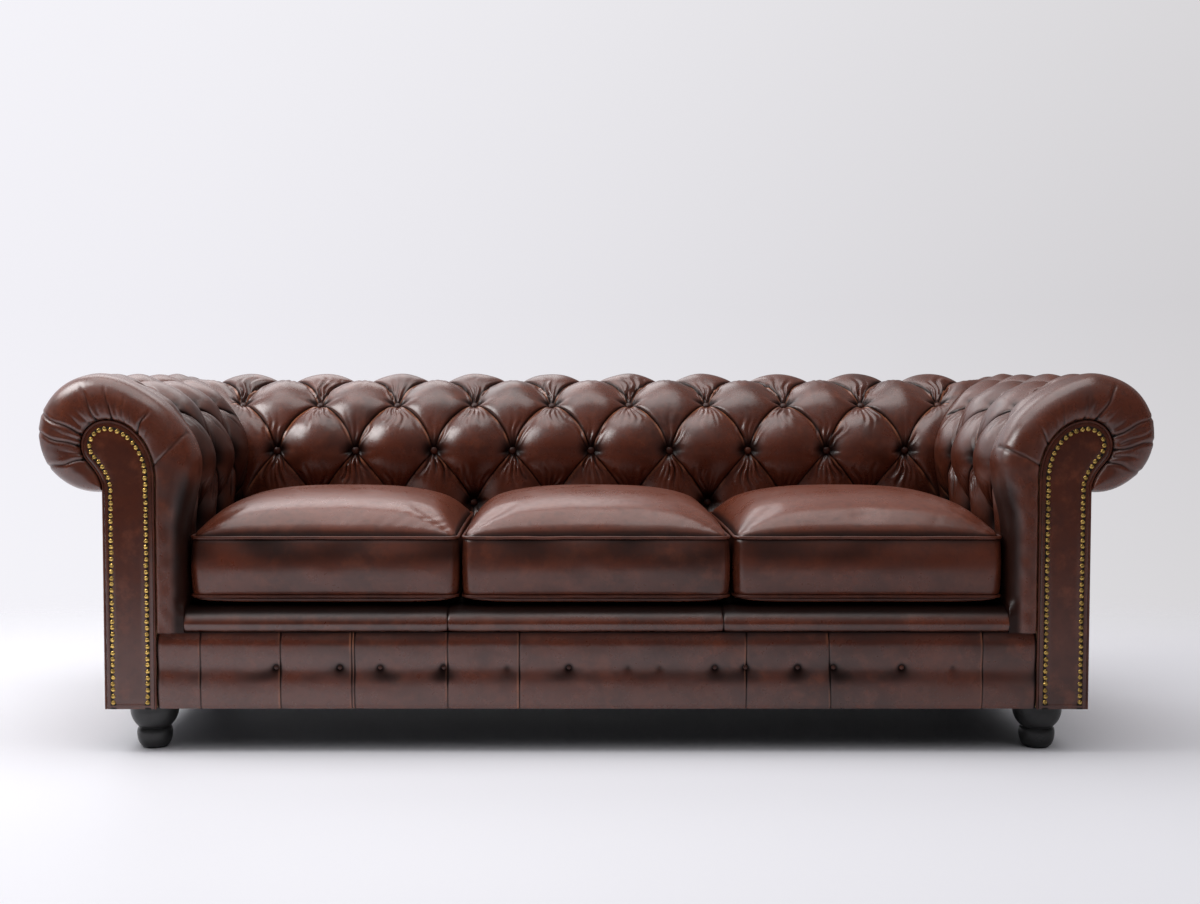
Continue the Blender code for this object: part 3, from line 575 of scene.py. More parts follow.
@dataclass(frozen=True)
class Leather(Finish):
    """Antique leather, finished by hand rubbing: mottled and reddened by rubbing on its swells, darkened
    in its creases, pits and recesses by painted shade with some patina, with painted highlights along
    crease edges and a painted sheen on cushion crowns.
    """

    dark: Colour = (0.048, 0.0112, 0.0056)
    # Red-brown of random patches reddened by rubbing.
    rubbed: Colour = (0.2, 0.05, 0.021)
    # Near-black of painted shade, with some patina, in creases, pits and recesses.
    hollow_colour: Colour = (0.006, 0.0014, 0.0008)
    # Lighter colour painted on cushion crowns as a sheen from the light above.
    crown_sheen_colour: Colour = (0.185, 0.05, 0.027)
    # Bright orange of painted highlights along crease and pleat edges.
    edge_highlight_colour: Colour = (0.6, 0.22, 0.1)
    mottling: float = 0.85
    slack: float = 0.5

    def shader(self, tree: Tree, sockets: dict) -> Socket:
        """Polished leather, mixed with a dull near-black leather where shade is painted into deep creases,
        pits and recesses.

        Args:
            tree: The material's tree.
            sockets: The polished leather's sockets.

        Returns:
            The mixed shader.
        """
        polished = super().shader(tree, sockets)
        # Dull near-black leather for painted shade: it also takes the reflections out of deep creases,
        # pits and recesses.
        dull = {"Base Color": (*self.hollow_colour, 1.0), "Roughness": 0.8, "Specular IOR Level": 0.06}
        unpolished = tree.node("BsdfPrincipled", None, dull).outputs[0]
        share = tree.attribute("hollow").between(0.12, 0.85) * 0.9
        return tree.node("MixShader", None, {0: share, 1: polished, 2: unpolished}).outputs[0]

    def surface(self, tree: Tree) -> dict[str, Value | Socket]:
        """Mottled colour, painted shade, painted crease-edge highlights and painted crown sheen, uneven
        gloss, and a pebbled grain over soft slackness.

        Args:
            tree: The material's tree.

        Returns:
            The sockets that change over the surface.
        """
        place = tree.coordinates()
        cloud = tree.noise(place, 2.6, 3)
        mottle = tree.noise(place, 10.0, 4, 0.62)
        speck = tree.noise(place, 70.0, 3)
        scuff = tree.noise(place, 26.0, 4, 0.65)
        hollow = tree.attribute("hollow")
        shade = (cloud * 0.5 + mottle * 0.5).between(0.42, 0.66) * self.mottling
        colour = tree.mix(shade, self.colour, self.dark)
        # Painted sheen on the cushion crowns.
        colour = tree.mix(tree.attribute("crown_sheen"), colour, self.crown_sheen_colour)
        wear_and_sheen = (mottle * 0.3 + scuff * 0.7).between(0.48, 0.68) * 0.5
        colour = tree.mix(wear_and_sheen, colour, self.rubbed)
        colour = tree.mix(speck.between(0.45, 0.75) * 0.35, colour, self.dark)
        # Painted shade, with some patina: near black in creases, pits, recesses and under overhangs.
        colour = tree.mix(hollow.between(0.05, 0.95) * 0.92, colour, self.hollow_colour)
        # Painted highlight along crease and pleat edges.
        colour = tree.mix(tree.attribute("edge"), colour, self.edge_highlight_colour)
        pebble = tree.cells(place, 620.0)
        fine = tree.noise(place, 300.0, 2)
        soft = tree.noise(place, 24.0, 3, 0.5)
        wrinkle = tree.noise(place, 62.0, 3, 0.5)
        height = pebble * 0.07 + fine * 0.05 + soft * self.slack + wrinkle * self.slack * 0.45
        gloss = (mottle - 0.5) * 0.25 + (speck - 0.5) * 0.12 + hollow * 0.15
        return {
            "Base Color": colour,
            "Roughness": self.roughness + gloss,
            "Coat Weight": (1 - hollow) * self.coat,
            "Normal": tree.bump(height),
        }


@dataclass(frozen=True)
class Brass(Finish):
    """Antique brass, with tarnish in patches and small hammer marks."""

    tarnish: Colour = (0.16, 0.085, 0.02)

    def surface(self, tree: Tree) -> dict[str, Value | Socket]:
        """Tarnished patches and a dented face.

        Args:
            tree: The material's tree.

        Returns:
            The sockets that change over the surface.
        """
        place = tree.coordinates()
        patch = tree.noise(place, 130.0, 3).between(0.45, 0.7)
        dents = tree.noise(place, 420.0, 2)
        return {
            "Base Color": tree.mix(patch * 0.65, self.colour, self.tarnish),
            "Roughness": self.roughness + patch * 0.2,
            "Normal": tree.bump(dents, 0.0012),
        }


@dataclass(frozen=True)
class Lacquer(Finish):
    """Satin black lacquer over turned wood."""

    def surface(self, tree: Tree) -> dict[str, Value | Socket]:
        """Faint turning lines, brush marks and dulled patches.

        Args:
            tree: The material's tree.

        Returns:
            The sockets that change over the surface.
        """
        grain = tree.noise(tree.coordinates((1, 1, 0.12)), 160.0, 3)
        rings = tree.noise(tree.coordinates((0.1, 0.1, 1)), 380.0, 2)
        dull = tree.noise(tree.coordinates(), 26.0, 3)
        return {
            "Base Color": tree.mix(dull, self.colour, (0.03, 0.029, 0.028)),
            "Roughness": self.roughness + (dull - 0.5) * 0.25,
            "Normal": tree.bump(grain * 0.12 + rings * 0.08),
        }


@dataclass(frozen=True)
class Timber(Finish):
    """Sawn hardwood, with its grain along one axis."""

    grain: tuple[float, float, float] = (1, 1, 1)
    late: Colour = (0.33, 0.19, 0.09)

    def surface(self, tree: Tree) -> dict[str, Value | Socket]:
        """Grain bands and pores.

        Args:
            tree: The material's tree.

        Returns:
            The sockets that change over the surface.
        """
        place = tree.coordinates(self.grain)
        bands = tree.noise(place, 30.0, 4, 0.6)
        pores = tree.noise(place, 240.0, 2)
        colour = tree.mix(bands.between(0.35, 0.7), self.colour, self.late)
        colour = tree.mix(pores.between(0.55, 0.7) * 0.4, colour, (0.2, 0.11, 0.05))
        return {"Base Color": colour, "Normal": tree.bump(bands * 0.2 + pores * 0.25)}


@dataclass(frozen=True)
class Weave(Finish):
    """Woven cloth: threads that cross at a pitch, over and under."""

    thread: float = 0.002
    turn: float = 0.0
    second: Colour = (0.1, 0.08, 0.06)
    depth: float = 0.4

    def surface(self, tree: Tree) -> dict[str, Value | Socket]:
        """Crossing threads, with slubs.

        Args:
            tree: The material's tree.

        Returns:
            The sockets that change over the surface.
        """
        place = tree.coordinates(turn=self.turn)
        scale = 2 * math.pi / (20 * self.thread)
        warp = tree.wave(place, "X", scale, 0.6)
        weft = tree.wave(place, "Y", scale, 0.6)
        slub = tree.noise(place, 40.0, 3)
        cross = tree.maths("MAXIMUM", warp, weft)
        colour = tree.mix((1 - cross) * 0.7 + (slub - 0.5) * 0.6, self.colour, self.second)
        height = cross * self.depth + slub * 0.3
        return {"Base Color": colour, "Normal": tree.bump(height)}


LEATHER = Leather("antique leather", Slot.LEATHER, (0.12, 0.028, 0.013), 0.28, 0.0, 0.1, 0.24, 0.95)
CUSHION_LEATHER = Leather(
    "cushion leather", Slot.LEATHER, (0.13, 0.0302, 0.014), 0.3, 0.0, 0.0, 0.3, 0.75, mottling=0.75
)
FACING_LEATHER = Leather(
    "facing leather", Slot.FACING, (0.088, 0.0198, 0.0088), 0.21, 0.0, 0.0, 0.3, 0.85, slack=0.2
)
WELT_LEATHER = Leather("welt leather", Slot.LEATHER, (0.11, 0.027, 0.0135), 0.34, slack=0.1)
# Buttons are coloured darker than the cover: painted shade for buttons seated in their pits.
BUTTON_LEATHER = Leather("button leather", Slot.LEATHER, (0.045, 0.0115, 0.0065), 0.4, slack=0.15)
BRASS = Brass("antique brass", Slot.BRASS, (0.87, 0.58, 0.17), 0.26, 1.0)
GIMP = Weave(
    "gimp band", Slot.FACING, (0.016, 0.008, 0.006), 0.75, thread=0.0016, second=(0.006, 0.003, 0.002)
)
BLACK_LACQUER = Lacquer("black lacquer", Slot.FOOT, (0.011, 0.011, 0.012), 0.32)
DUST_CLOTH = Weave(
    "dust cloth", Slot.DUST_CLOTH, (0.02, 0.02, 0.021), 0.95, thread=0.0012, second=(0.006, 0.006, 0.006)
)
DECK_CLOTH = Weave(
    "deck cloth", Slot.DECK, (0.06, 0.04, 0.03), 0.9, thread=0.0016, second=(0.025, 0.016, 0.012)
)
JUTE = Weave("jute webbing", Slot.WEBBING, (0.42, 0.32, 0.19), 0.9, thread=0.004, second=(0.2, 0.14, 0.08))
HARDWOODS = {
    axis: Timber(f"hardwood along {axis}", Slot.HARDWOOD, (0.5, 0.33, 0.18), 0.65, grain=grain)
    for axis, grain in (("X", (0.08, 1, 1)), ("Y", (1, 0.08, 1)), ("Z", (1, 1, 0.08)))
}


# Meshes


def grid_mesh(points: Array, values: Layers | None = None) -> Mesh:
    """A grid whose vertices are moved to the points.

    Args:
        points: Places, as rows by columns by three.
        values: Numbers that the vertices carry, as rows by columns, by name.

    Returns:
        The mesh, with a face between each four neighbours.
    """
    rows, columns, _ = points.shape
    bm = bmesh.new()
    bmesh.ops.create_grid(bm, x_segments=columns - 1, y_segments=rows - 1, size=1)
    for vert, place in zip(bm.verts, points.reshape(-1, 3).tolist()):
        vert.co = place
    for name, numbers in (values or {}).items():
        layer = bm.verts.layers.float.new(name)
        for vert, number in zip(bm.verts, numbers.ravel().tolist()):
            vert[layer] = number
    return bm


def seal(bm: Mesh, within: float = 2e-6) -> Mesh:
    """Merge what meets, close the open ends and turn the faces outwards.

    Args:
        bm: The mesh.
        within: How near two vertices merge.

    Returns:
        The same mesh.
    """
    bmesh.ops.remove_doubles(bm, verts=bm.verts, dist=within)
    open_edges = [edge for edge in bm.edges if edge.is_boundary]
    if open_edges:
        filled = bmesh.ops.holes_fill(bm, edges=open_edges, sides=0)
        bmesh.ops.triangulate(bm, faces=filled["faces"])
    bmesh.ops.recalc_face_normals(bm, faces=bm.faces)
    return bm


def tube(rings: Array, ringed: bool = False, values: Layers | None = None) -> Mesh:
    """A closed skin through rings of equal count.

    Args:
        rings: Places, as rings by points by three.
        ringed: Whether the last ring meets the first.
        values: Numbers that the vertices carry, as rings by points, by name.

    Returns:
        The sealed mesh.
    """

    def wrap(grid: Array) -> Array:
        """Join each ring's end to its start, and the last ring to the first."""
        grid = np.concatenate([grid, grid[:, :1]], axis=1)
        return np.concatenate([grid, grid[:1]]) if ringed else grid

    carried = {name: wrap(numbers) for name, numbers in (values or {}).items()}
    return seal(grid_mesh(wrap(rings), carried))


def slab(front: Array, axis: int, back: float, values: Layers | None = None) -> Mesh:
    """A padded plate: its shaped front, closed by a plain back.

    Args:
        front: Places of the front, as rows by columns by three.
        axis: The axis of the plate's thickness.
        back: Where the back lies on that axis.
        values: Numbers that the front's vertices carry, as rows by columns, by name.

    Returns:
        The sealed mesh, whose hidden back gets full painted shade.
    """
    rear = front[::-1][[0, -1]].copy()
    rear[..., axis] = back
    carried = {}
    for name, numbers in (values or {}).items():
        plain = np.full((2, front.shape[1]), float(name == "hollow"))
        carried[name] = np.concatenate([numbers, plain]).T
    return tube(np.concatenate([front, rear]).transpose(1, 0, 2), values=carried)


def round_tube(points: Array, radius: float, upright: Sequence[float], ringed: bool, seed: int) -> Mesh:
    """A round cord of leather along a flat run of points.

    Args:
        points: The run's middle line.
        radius: The cord's radius.
        upright: The normal of the plane that the run lies in.
        ringed: Whether the run is closed.
        seed: Picks the cord's small unevenness.

    Returns:
        The sealed mesh.
    """
    sides = 12
    if ringed:
        run = np.roll(points, -1, axis=0) - np.roll(points, 1, axis=0)
    else:
        run = np.gradient(points, axis=0)
    run /= np.linalg.norm(run, axis=1)[:, None]
    out = np.cross(run, upright)
    turns = np.linspace(0, 2 * math.pi, sides, endpoint=False)
    steps = np.linalg.norm(np.diff(points, axis=0, prepend=points[:1]), axis=1).cumsum()
    thick = radius * (1 - 0.04 * (1 + ripple(steps / 0.03, 0.0, seed)))
    across = np.cos(turns)[None, :, None] * out[:, None, :]
    along = np.sin(turns)[None, :, None] * np.array(upright, float)[None, None, :]
    return tube(points[:, None, :] + (across + along) * thick[:, None, None], ringed)


def facing_out(points: Array) -> Array:
    """Unit normals of a grid, from its neighbours.

    Args:
        points: Places, as rows by columns by three.

    Returns:
        The normals, in the same order.
    """
    normals = np.cross(np.gradient(points, axis=1), np.gradient(points, axis=0))
    sizes = np.linalg.norm(normals, axis=2, keepdims=True)
    return normals / np.maximum(sizes, 1e-12)


def add_object(name: str, data: bpy.types.ID) -> bpy.types.Object:
    """Put a mesh, a light or a camera in the scene.

    Args:
        name: The object's name.
        data: What it shows.

    Returns:
        The object.
    """
    made = bpy.data.objects.new(name, data)
    bpy.context.scene.collection.objects.link(made)
    return made


@dataclass
class Piece:
    """A finished piece: its mesh, its finish, its body and the solids that it stands for."""

    name: str
    bm: Mesh
    finish: Finish
    body: str = "frame"
    replaces: Sequence[str] = ()
    fill: float | None = None
    sharp: float = 60.0

    def place(self) -> bpy.types.Object:
        """Put the piece in the scene, dressed and riding on its body.

        Returns:
            The object.
        """
        label = f"{self.name}_look"
        data = bpy.data.meshes.new(label)
        self.bm.to_mesh(data)
        self.bm.free()
        data.materials.append(self.finish.build())
        data.shade_smooth()
        data.set_sharp_from_angle(angle=math.radians(self.sharp))
        made = add_object(label, data)
        self.declare(made)
        log.info("%s: %d faces", label, len(data.polygons))
        return made

    def declare(self, made: bpy.types.Object) -> None:
        """Hang the piece on its body's empty and hide the frame's solids that it replaces.

        Args:
            made: The piece's object.
        """
        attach(made, self.body)
        if self.replaces:
            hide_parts(*self.replaces)


# Deep buttoning


@dataclass(frozen=True)
class Tufting:
    """Deep buttoning in a diamond pattern, read along a wall and up its cover.

    Rows are counted from 0 on the crest. Buttons of one row lie halfway between those of the next.
    """

    pitch: float = 0.1862
    depth: float = 0.033
    row_drops: tuple[float, ...] = (-0.017, 0.133, 0.296, 0.426)
    bows: tuple[float, ...] = (0.16, 0.2, 0.05)
    crease_lift: float = 0.32
    crease_power: float = 0.8
    upper_power: float = 1.0
    lower_power: float = 0.48
    edge_fade: float = 0.05
    edge_share: float = 0.3
    pleat_fade: float = 0.08
    pleat_share: float = 0.22
    pinch: float = 0.007
    pinch_reach: float = 0.017
    pit_width: float = 0.03
    pit_shares: tuple[tuple[float, float], ...] = ((0.5, 0.5), (0.45, 0.35), (1.6, 0.7), (1.2, 0.7))
    folds: int = 5
    fold_depth: float = 0.0066
    fold_spread: float = math.radians(31)
    fold_width: float = 0.003
    fold_start: float = 0.006
    fold_reach: tuple[float, float] = (0.055, 0.07)
    fold_widening: float = 0.062
    fold_wander: float = 0.09
    fold_shares: tuple[tuple[float, float], ...] = ((0.0, 0.3), (1.15, 0.6), (0.75, 1.2), (0.7, 0.4))
    crease_width: float = 0.022
    # Strengths of painted shade in creases, fold grooves and button pits.
    crease_hollow: float = 0.75
    fold_hollow: float = 0.7
    pit_hollow: float = 0.9
    # Width and strength of painted highlights along crease edges.
    highlight_width: float = 0.012
    highlight_share: float = 0.75
    seam_fade: float = 0.02
    slack: float = 0.0016

    @property
    def rows(self) -> Array:
        """Arc lengths of the button rows."""
        return CREST - np.array(self.row_drops)

    def row_number(self, s: Array) -> Array:
        """Which row an arc length lies at, bowed so that creases arch over each diamond.

        Args:
            s: Arc lengths.

        Returns:
            Row numbers, with fractions between rows.
        """
        rows = self.rows
        number = np.interp(s, rows[::-1], np.arange(len(rows))[::-1])
        gap = np.clip(np.floor(number), 0, len(self.bows) - 1).astype(int)
        share = number - gap
        return number + np.array(self.bows)[gap] * np.sin(math.pi * share)

    def lines_up(self, shares: Array) -> list[Array]:
        """Arc lengths of the grid's lines between rows, from the lowest gap up.

        Args:
            shares: Where a crease crosses each line, as shares of a half pitch.

        Returns:
            The arc lengths in each gap between two rows.
        """
        fine = np.linspace(0, 1, 400)
        gaps = []
        for upper, lower, bow in zip(self.rows, self.rows[1:], self.bows):
            bowed = fine + bow * np.sin(math.pi * fine)
            gaps.append(lerp(upper, lower, np.interp(1 - shares, bowed, fine)))
        return gaps[::-1]

    def strength(self, s: Array) -> Array:
        """How strong the creases are: full among the buttons, fading above and below them.

        Args:
            s: Arc lengths.

        Returns:
            Strengths from 0 to 1.
        """
        rows = self.rows
        past = np.maximum(np.maximum(s - rows[0], rows[-1] - s), 0.0)
        share = lerp(1.0, self.pleat_share, smoothstep(past / self.pleat_fade))
        return share * smoothstep(np.minimum(s, ROLL.length - s) / self.edge_fade)

    def swell(self, share: Array) -> Array:
        """Height across a diamond: gentle from its upper edge, full over its lower edge."""
        power = lerp(self.upper_power, self.lower_power, share)
        return np.maximum(np.sin(math.pi * share), 0.0) ** power

    def folds_at(self, across: Array, up: Array, column: Array, row: Array) -> Array:
        """Small folds that fan out above and below a button.

        Args:
            across: Distance from the button along the wall.
            up: Distance from the button up the cover.
            column: The button's column.
            row: The button's row.

        Returns:
            How deep the folds are.
        """
        r = np.hypot(across, up)
        turn = np.arctan2(across, np.abs(up))
        way = np.sign(up)
        bend = self.fold_wander * np.sin(r / 0.012 + column + row)
        total = np.zeros(r.shape)
        for k in range(self.folds):
            chance = [scatter(column + 3.0, row + 5.0, k + 2.0, way * 2.0 + part) for part in (3, 7, 11)]
            centre = self.fold_spread * (2 * (k + 0.2 + 0.6 * chance[0]) / self.folds - 1)
            reach = self.fold_reach[0] + self.fold_reach[1] * chance[1]
            width = np.maximum(self.fold_width, r * self.fold_widening)
            away = r * (turn - centre - bend * chance[2]) / width
            groove = np.exp(-(np.abs(away) ** 1.5)) - 0.5 * bell(np.abs(away) - 1.9, 1)
            window = smoothstep((r - self.fold_start) / 0.014) * fade(r - 0.024, reach)
            total += (0.35 + 0.65 * chance[2]) * groove * window
        shares = np.array(self.fold_shares)[row.astype(int)]
        total = total * np.where(way > 0, shares[..., 0], shares[..., 1])
        return (total + self.side_folds(across, up, column, row)) * self.fold_depth

    def side_folds(self, across: Array, up: Array, column: Array, row: Array) -> Array:
        """A short fold at each side of a button.

        Args:
            across: Distance from the button along the wall.
            up: Distance from the button up the cover.
            column: The button's column.
            row: The button's row.

        Returns:
            Depths, as shares of a fold's.
        """
        r = np.hypot(across, up)
        chance = scatter(column + 1.0, row + 4.0, np.sign(across) * 3.0)
        away = up - across * (chance - 0.5) * 0.5
        window = smoothstep((r - self.fold_start) / 0.008) * fade(r - 0.012, 0.014 + 0.02 * chance)
        return 0.8 * chance * bell(away, self.fold_width) * window

    def draw(self, along: Array, s: Array, edge: Array) -> tuple[Array, Array, Array]:
        """How far the cover is drawn in, and how its places look.

        Args:
            along: Places along the wall, counted from a top-row button.
            s: Arc lengths up the cover.
            edge: Distances to the nearest mitre or seam.

        Returns:
            Draws in metres, then painted shade (with some patina in the creases) and painted crease-edge
            highlight at each place, from 0 to 1.
        """
        halves = along / (self.pitch / 2)
        rows = self.row_number(s)
        rising, falling = (halves + rows) / 2, (halves - rows) / 2
        first, second = rising - np.floor(rising), 1 - (falling - np.floor(falling))
        steep = np.maximum(np.abs(np.sin(math.pi * first)), np.abs(np.sin(math.pi * second)))
        lift = self.crease_lift * steep**self.crease_power
        height = lift + (1 - lift) * self.swell(first) * self.swell(second)
        strength = self.strength(s)
        depth = self.depth * (1 - height)
        a, b = np.round(rising), np.round(falling)
        column, row = a + b, np.clip(a - b, 0, len(self.row_drops) - 1)
        across = (halves - column) * self.pitch / 2
        up = s - self.rows[row.astype(int)]
        r = np.hypot(across, up)
        real = (a - b >= 0) & (a - b < len(self.row_drops))
        near = bell(r, self.pinch_reach) * real
        shares = np.array(self.pit_shares)[row.astype(int)]
        height = self.pit_width * np.where(up > 0, shares[..., 0], shares[..., 1])
        pit = np.exp(-((across / self.pit_width) ** 2) - (up / height) ** 2) * real
        folds = self.folds_at(across, up, column, row) * real
        depth = depth + self.pinch * near + folds
        uneven = ripple(along / 0.11, s / 0.11, 11) + 1
        depth = depth * strength + self.slack * uneven * smoothstep(edge / self.edge_fade)
        rim = self.depth * self.edge_share * strength
        depth = lerp(rim, depth, smoothstep(edge / self.edge_fade))
        side = [np.minimum(share, 1 - share) for share in (first, second)]
        # Painted shade, with some patina in the creases: dark in the creases, the fold grooves, the pinch
        # round each button and its pit.
        crease = np.exp(-np.minimum(side[0], side[1]) / self.crease_width)
        inside = strength * smoothstep(edge / self.seam_fade)
        folded = self.fold_hollow * np.clip(folds / self.fold_depth, 0, 1)
        hollow = np.maximum(self.crease_hollow * crease * inside, folded)
        hollow = np.maximum(hollow, np.maximum(near, self.pit_hollow * pit) * strength)
        # Painted highlight: thin bright lines beside each crease, in patches, away from the pits.
        lines = sum(bell(share - self.crease_width, self.highlight_width) for share in (first, second))
        patchy = np.clip(0.6 + ripple(along / 0.05, s / 0.05, 19), 0, 1)
        rubbed = self.highlight_share * lines * patchy * inside * (1 - pit)
        return depth, np.clip(hollow * (1 - rubbed), 0.0, 1.0), np.clip(rubbed, 0.0, 1.0)


TUFTING = Tufting()


@dataclass
class ButtonedWall:
    """A padded wall along the roll profile, with its cover drawn in to the buttons."""

    name: str
    first_button: float
    reach: tuple[float, float]
    place_at: Callable[[Array, Array, Array], Array]
    cuts: Sequence[tuple[Sequence[float], Sequence[float]]]
    mitre_from: float
    seam: float | None = None
    steps: int = 36
    rows_below: int = 12
    rows_above: int = 52
    closeness: float = 0.3
    button_radius: float = 0.0092
    button_height: float = 0.006
    button_lift: float = 0.6
    button_room: float = 0.02
    # Painted shade over the lower wall, full below shade_from and gone shade_run higher up.
    shade: float = 0.0
    shade_from: float = 0.34
    shade_run: float = 0.22

    def edge(self, along: Array, s: Array) -> Array:
        """Distance to the nearest mitre or seam along the wall.

        Args:
            along: Places along the wall.
            s: Arc lengths up the cover.

        Returns:
            Distances in metres.
        """
        insets, _ = ROLL.at(s)
        across, _ = ROLL.normal(s)
        rim = TUFTING.depth * TUFTING.edge_share * TUFTING.strength(s)
        end = self.mitre_from - (insets - across * rim)
        if self.seam is None:
            return end - np.abs(along)
        return np.minimum(end - along, along - self.seam)

    def lines_along(self) -> Array:
        """Lay out the grid's lines, close together at each button column.

        Returns:
            Their places along the wall.
        """
        half = TUFTING.pitch / 2
        low = math.floor((self.reach[0] - self.first_button) / half)
        high = math.ceil((self.reach[1] - self.first_button) / half)
        shares = swell(np.linspace(0, 1, self.steps, endpoint=False), self.closeness)
        spans = [self.first_button + (k + shares) * half for k in range(low, high)]
        return np.concatenate([*spans, [self.first_button + high * half]])

    def lines_up(self) -> Array:
        """Lay out the grid's lines, close together at each button row.

        Returns:
            Their arc lengths.
        """
        rows = TUFTING.rows
        shares = swell(np.linspace(0, 1, self.steps, endpoint=False), self.closeness)
        spans = [np.linspace(0, rows[-1], self.rows_below, endpoint=False)]
        spans += TUFTING.lines_up(shares)
        spans.append(np.linspace(rows[0], ROLL.length, self.rows_above))
        return np.concatenate(spans)

    def lay(self, along: Array, s: Array, depth: Numbers) -> Array:
        """Places under the roll profile.

        Args:
            along: Places along the wall.
            s: Arc lengths up the cover.
            depth: How deep under the profile they lie.

        Returns:
            The places in the room.
        """
        insets, heights = ROLL.at(s)
        across, up = ROLL.normal(s)
        return self.place_at(insets - across * depth, heights - up * depth, along)

    def cover(self, along: Array, s: Array) -> tuple[Array, Array, Array, Array]:
        """The drawn cover.

        Args:
            along: Places along the wall.
            s: Arc lengths up the cover.

        Returns:
            Places in the room, draws, painted shade and painted crease-edge highlight.
        """
        draw, hollow, rubbed = TUFTING.draw(along - self.first_button, s, self.edge(along, s))
        # Painted shade on the lower wall, added to the tufting's.
        hollow = np.clip(hollow + self.shade * fade(s - self.shade_from, self.shade_run), 0, 1)
        return self.lay(along, s, draw), draw, hollow, rubbed

    def split(self, bm: Mesh, along: Array, s: Array, draw: Array) -> None:
        """Split the cover's faces along the diagonals that keep closest to the creases.

        Args:
            bm: The wall's mesh.
            along: Places of the grid's lines along the wall.
            s: Arc lengths of its lines up the cover.
            draw: Draws at the grid's points.
        """
        middle_along = (along[1:] + along[:-1]) / 2
        middle_s = (s[1:] + s[:-1]) / 2
        true = self.cover(*np.meshgrid(middle_along, middle_s))[1]
        rising = np.abs((draw[:-1, :-1] + draw[1:, 1:]) / 2 - true)
        falling = np.abs((draw[:-1, 1:] + draw[1:, :-1]) / 2 - true)
        columns = len(along)
        bm.verts.ensure_lookup_table()
        bm.faces.ensure_lookup_table()
        faces = [bm.faces[i] for i in range((len(s) - 1) * (columns - 1))]
        for i, face in enumerate(faces):
            j, k = divmod(i, columns - 1)
            corner = j * columns + k
            if rising[j, k] <= falling[j, k]:
                ends = corner, corner + columns + 1
            else:
                ends = corner + 1, corner + columns
            bmesh.utils.face_split(face, bm.verts[ends[0]], bm.verts[ends[1]])

    def build(self) -> None:
        """Build the padded wall and its buttons."""
        along, s = self.lines_along(), self.lines_up()
        cover, draw, hollow, rubbed = self.cover(*np.meshgrid(along, s))
        back = self.lay(*np.meshgrid(along, np.linspace(ROLL.length, 0, 9)), SIZES.pad)
        points = np.concatenate([cover, back, cover[:1]])
        hidden = np.ones(back.shape[:2])
        # The hidden back carries full painted shade and no painted highlight.
        values = {
            "hollow": np.concatenate([hollow, hidden, hollow[:1]]),
            "edge": np.concatenate([rubbed, 0 * hidden, rubbed[:1]]),
        }
        bm = grid_mesh(points, values)
        self.split(bm, along, s, draw)
        bmesh.ops.remove_doubles(bm, verts=bm.verts, dist=2e-6)
        for point, normal in self.cuts:
            geometry = [*bm.verts, *bm.edges, *bm.faces]
            bmesh.ops.bisect_plane(
                bm, geom=geometry, dist=1e-7, plane_co=point, plane_no=normal, clear_outer=True
            )
        Piece(self.name, seal(bm), LEATHER, "frame", [self.name], 0.8, 75.0).place()
        self.buttons()

    def buttons(self) -> None:
        """Leather-covered buttons, each seated in the bottom of its tuft."""
        bm = bmesh.new()
        half = TUFTING.pitch / 2
        for row, s in enumerate(TUFTING.rows):
            for column in range(-16, 17):
                along = self.first_button + column * half
                distance = float(self.edge(np.array(along), np.array(s)))
                if (column + row) % 2 or distance < self.button_room:
                    continue
                self.add_button(bm, along, float(s))
        Piece(f"{self.name}_buttons", bm, BUTTON_LEATHER).place()

    def add_button(self, bm: Mesh, along: float, s: float) -> None:
        """Add one button, square to the cover.

        Args:
            bm: The mesh of all the wall's buttons.
            along: Its place along the wall.
            s: Its arc length.
        """
        at = np.array([along]), np.array([s])
        place = self.cover(*at)[0][0]
        out = Vector((self.lay(*at, 0.0) - self.lay(*at, SIZES.pad))[0] / SIZES.pad)
        matrix = Matrix.Translation(Vector(place) + out * self.button_height * self.button_lift)
        matrix @= out.to_track_quat("Z", "Y").to_matrix().to_4x4()
        share = self.button_height / self.button_radius
        bmesh.ops.create_uvsphere(
            bm,
            u_segments=20,
            v_segments=10,
            radius=self.button_radius,
            matrix=matrix @ Matrix.Diagonal((1, 1, share, 1)),
        )


def inside_back() -> ButtonedWall:
    """The buttoned inside back, mitred to the arms at both ends.

    Returns:
        The wall, not yet built.
    """
    ease = SIZES.half_width - SIZES.half_depth - SIZES.gap
    cuts = [((way * ease, 0, 0), (way, -1, 0)) for way in (-1, 1)]

    def place_at(insets: Array, heights: Array, along: Array) -> Array:
        """Places in the room, where X runs along the wall."""
        return np.stack(np.broadcast_arrays(along, SIZES.half_depth - insets, heights), axis=-1)

    reach = (-SIZES.half_width, SIZES.half_width)
    return ButtonedWall("inside_back", 0.0, reach, place_at, cuts, SIZES.half_width)


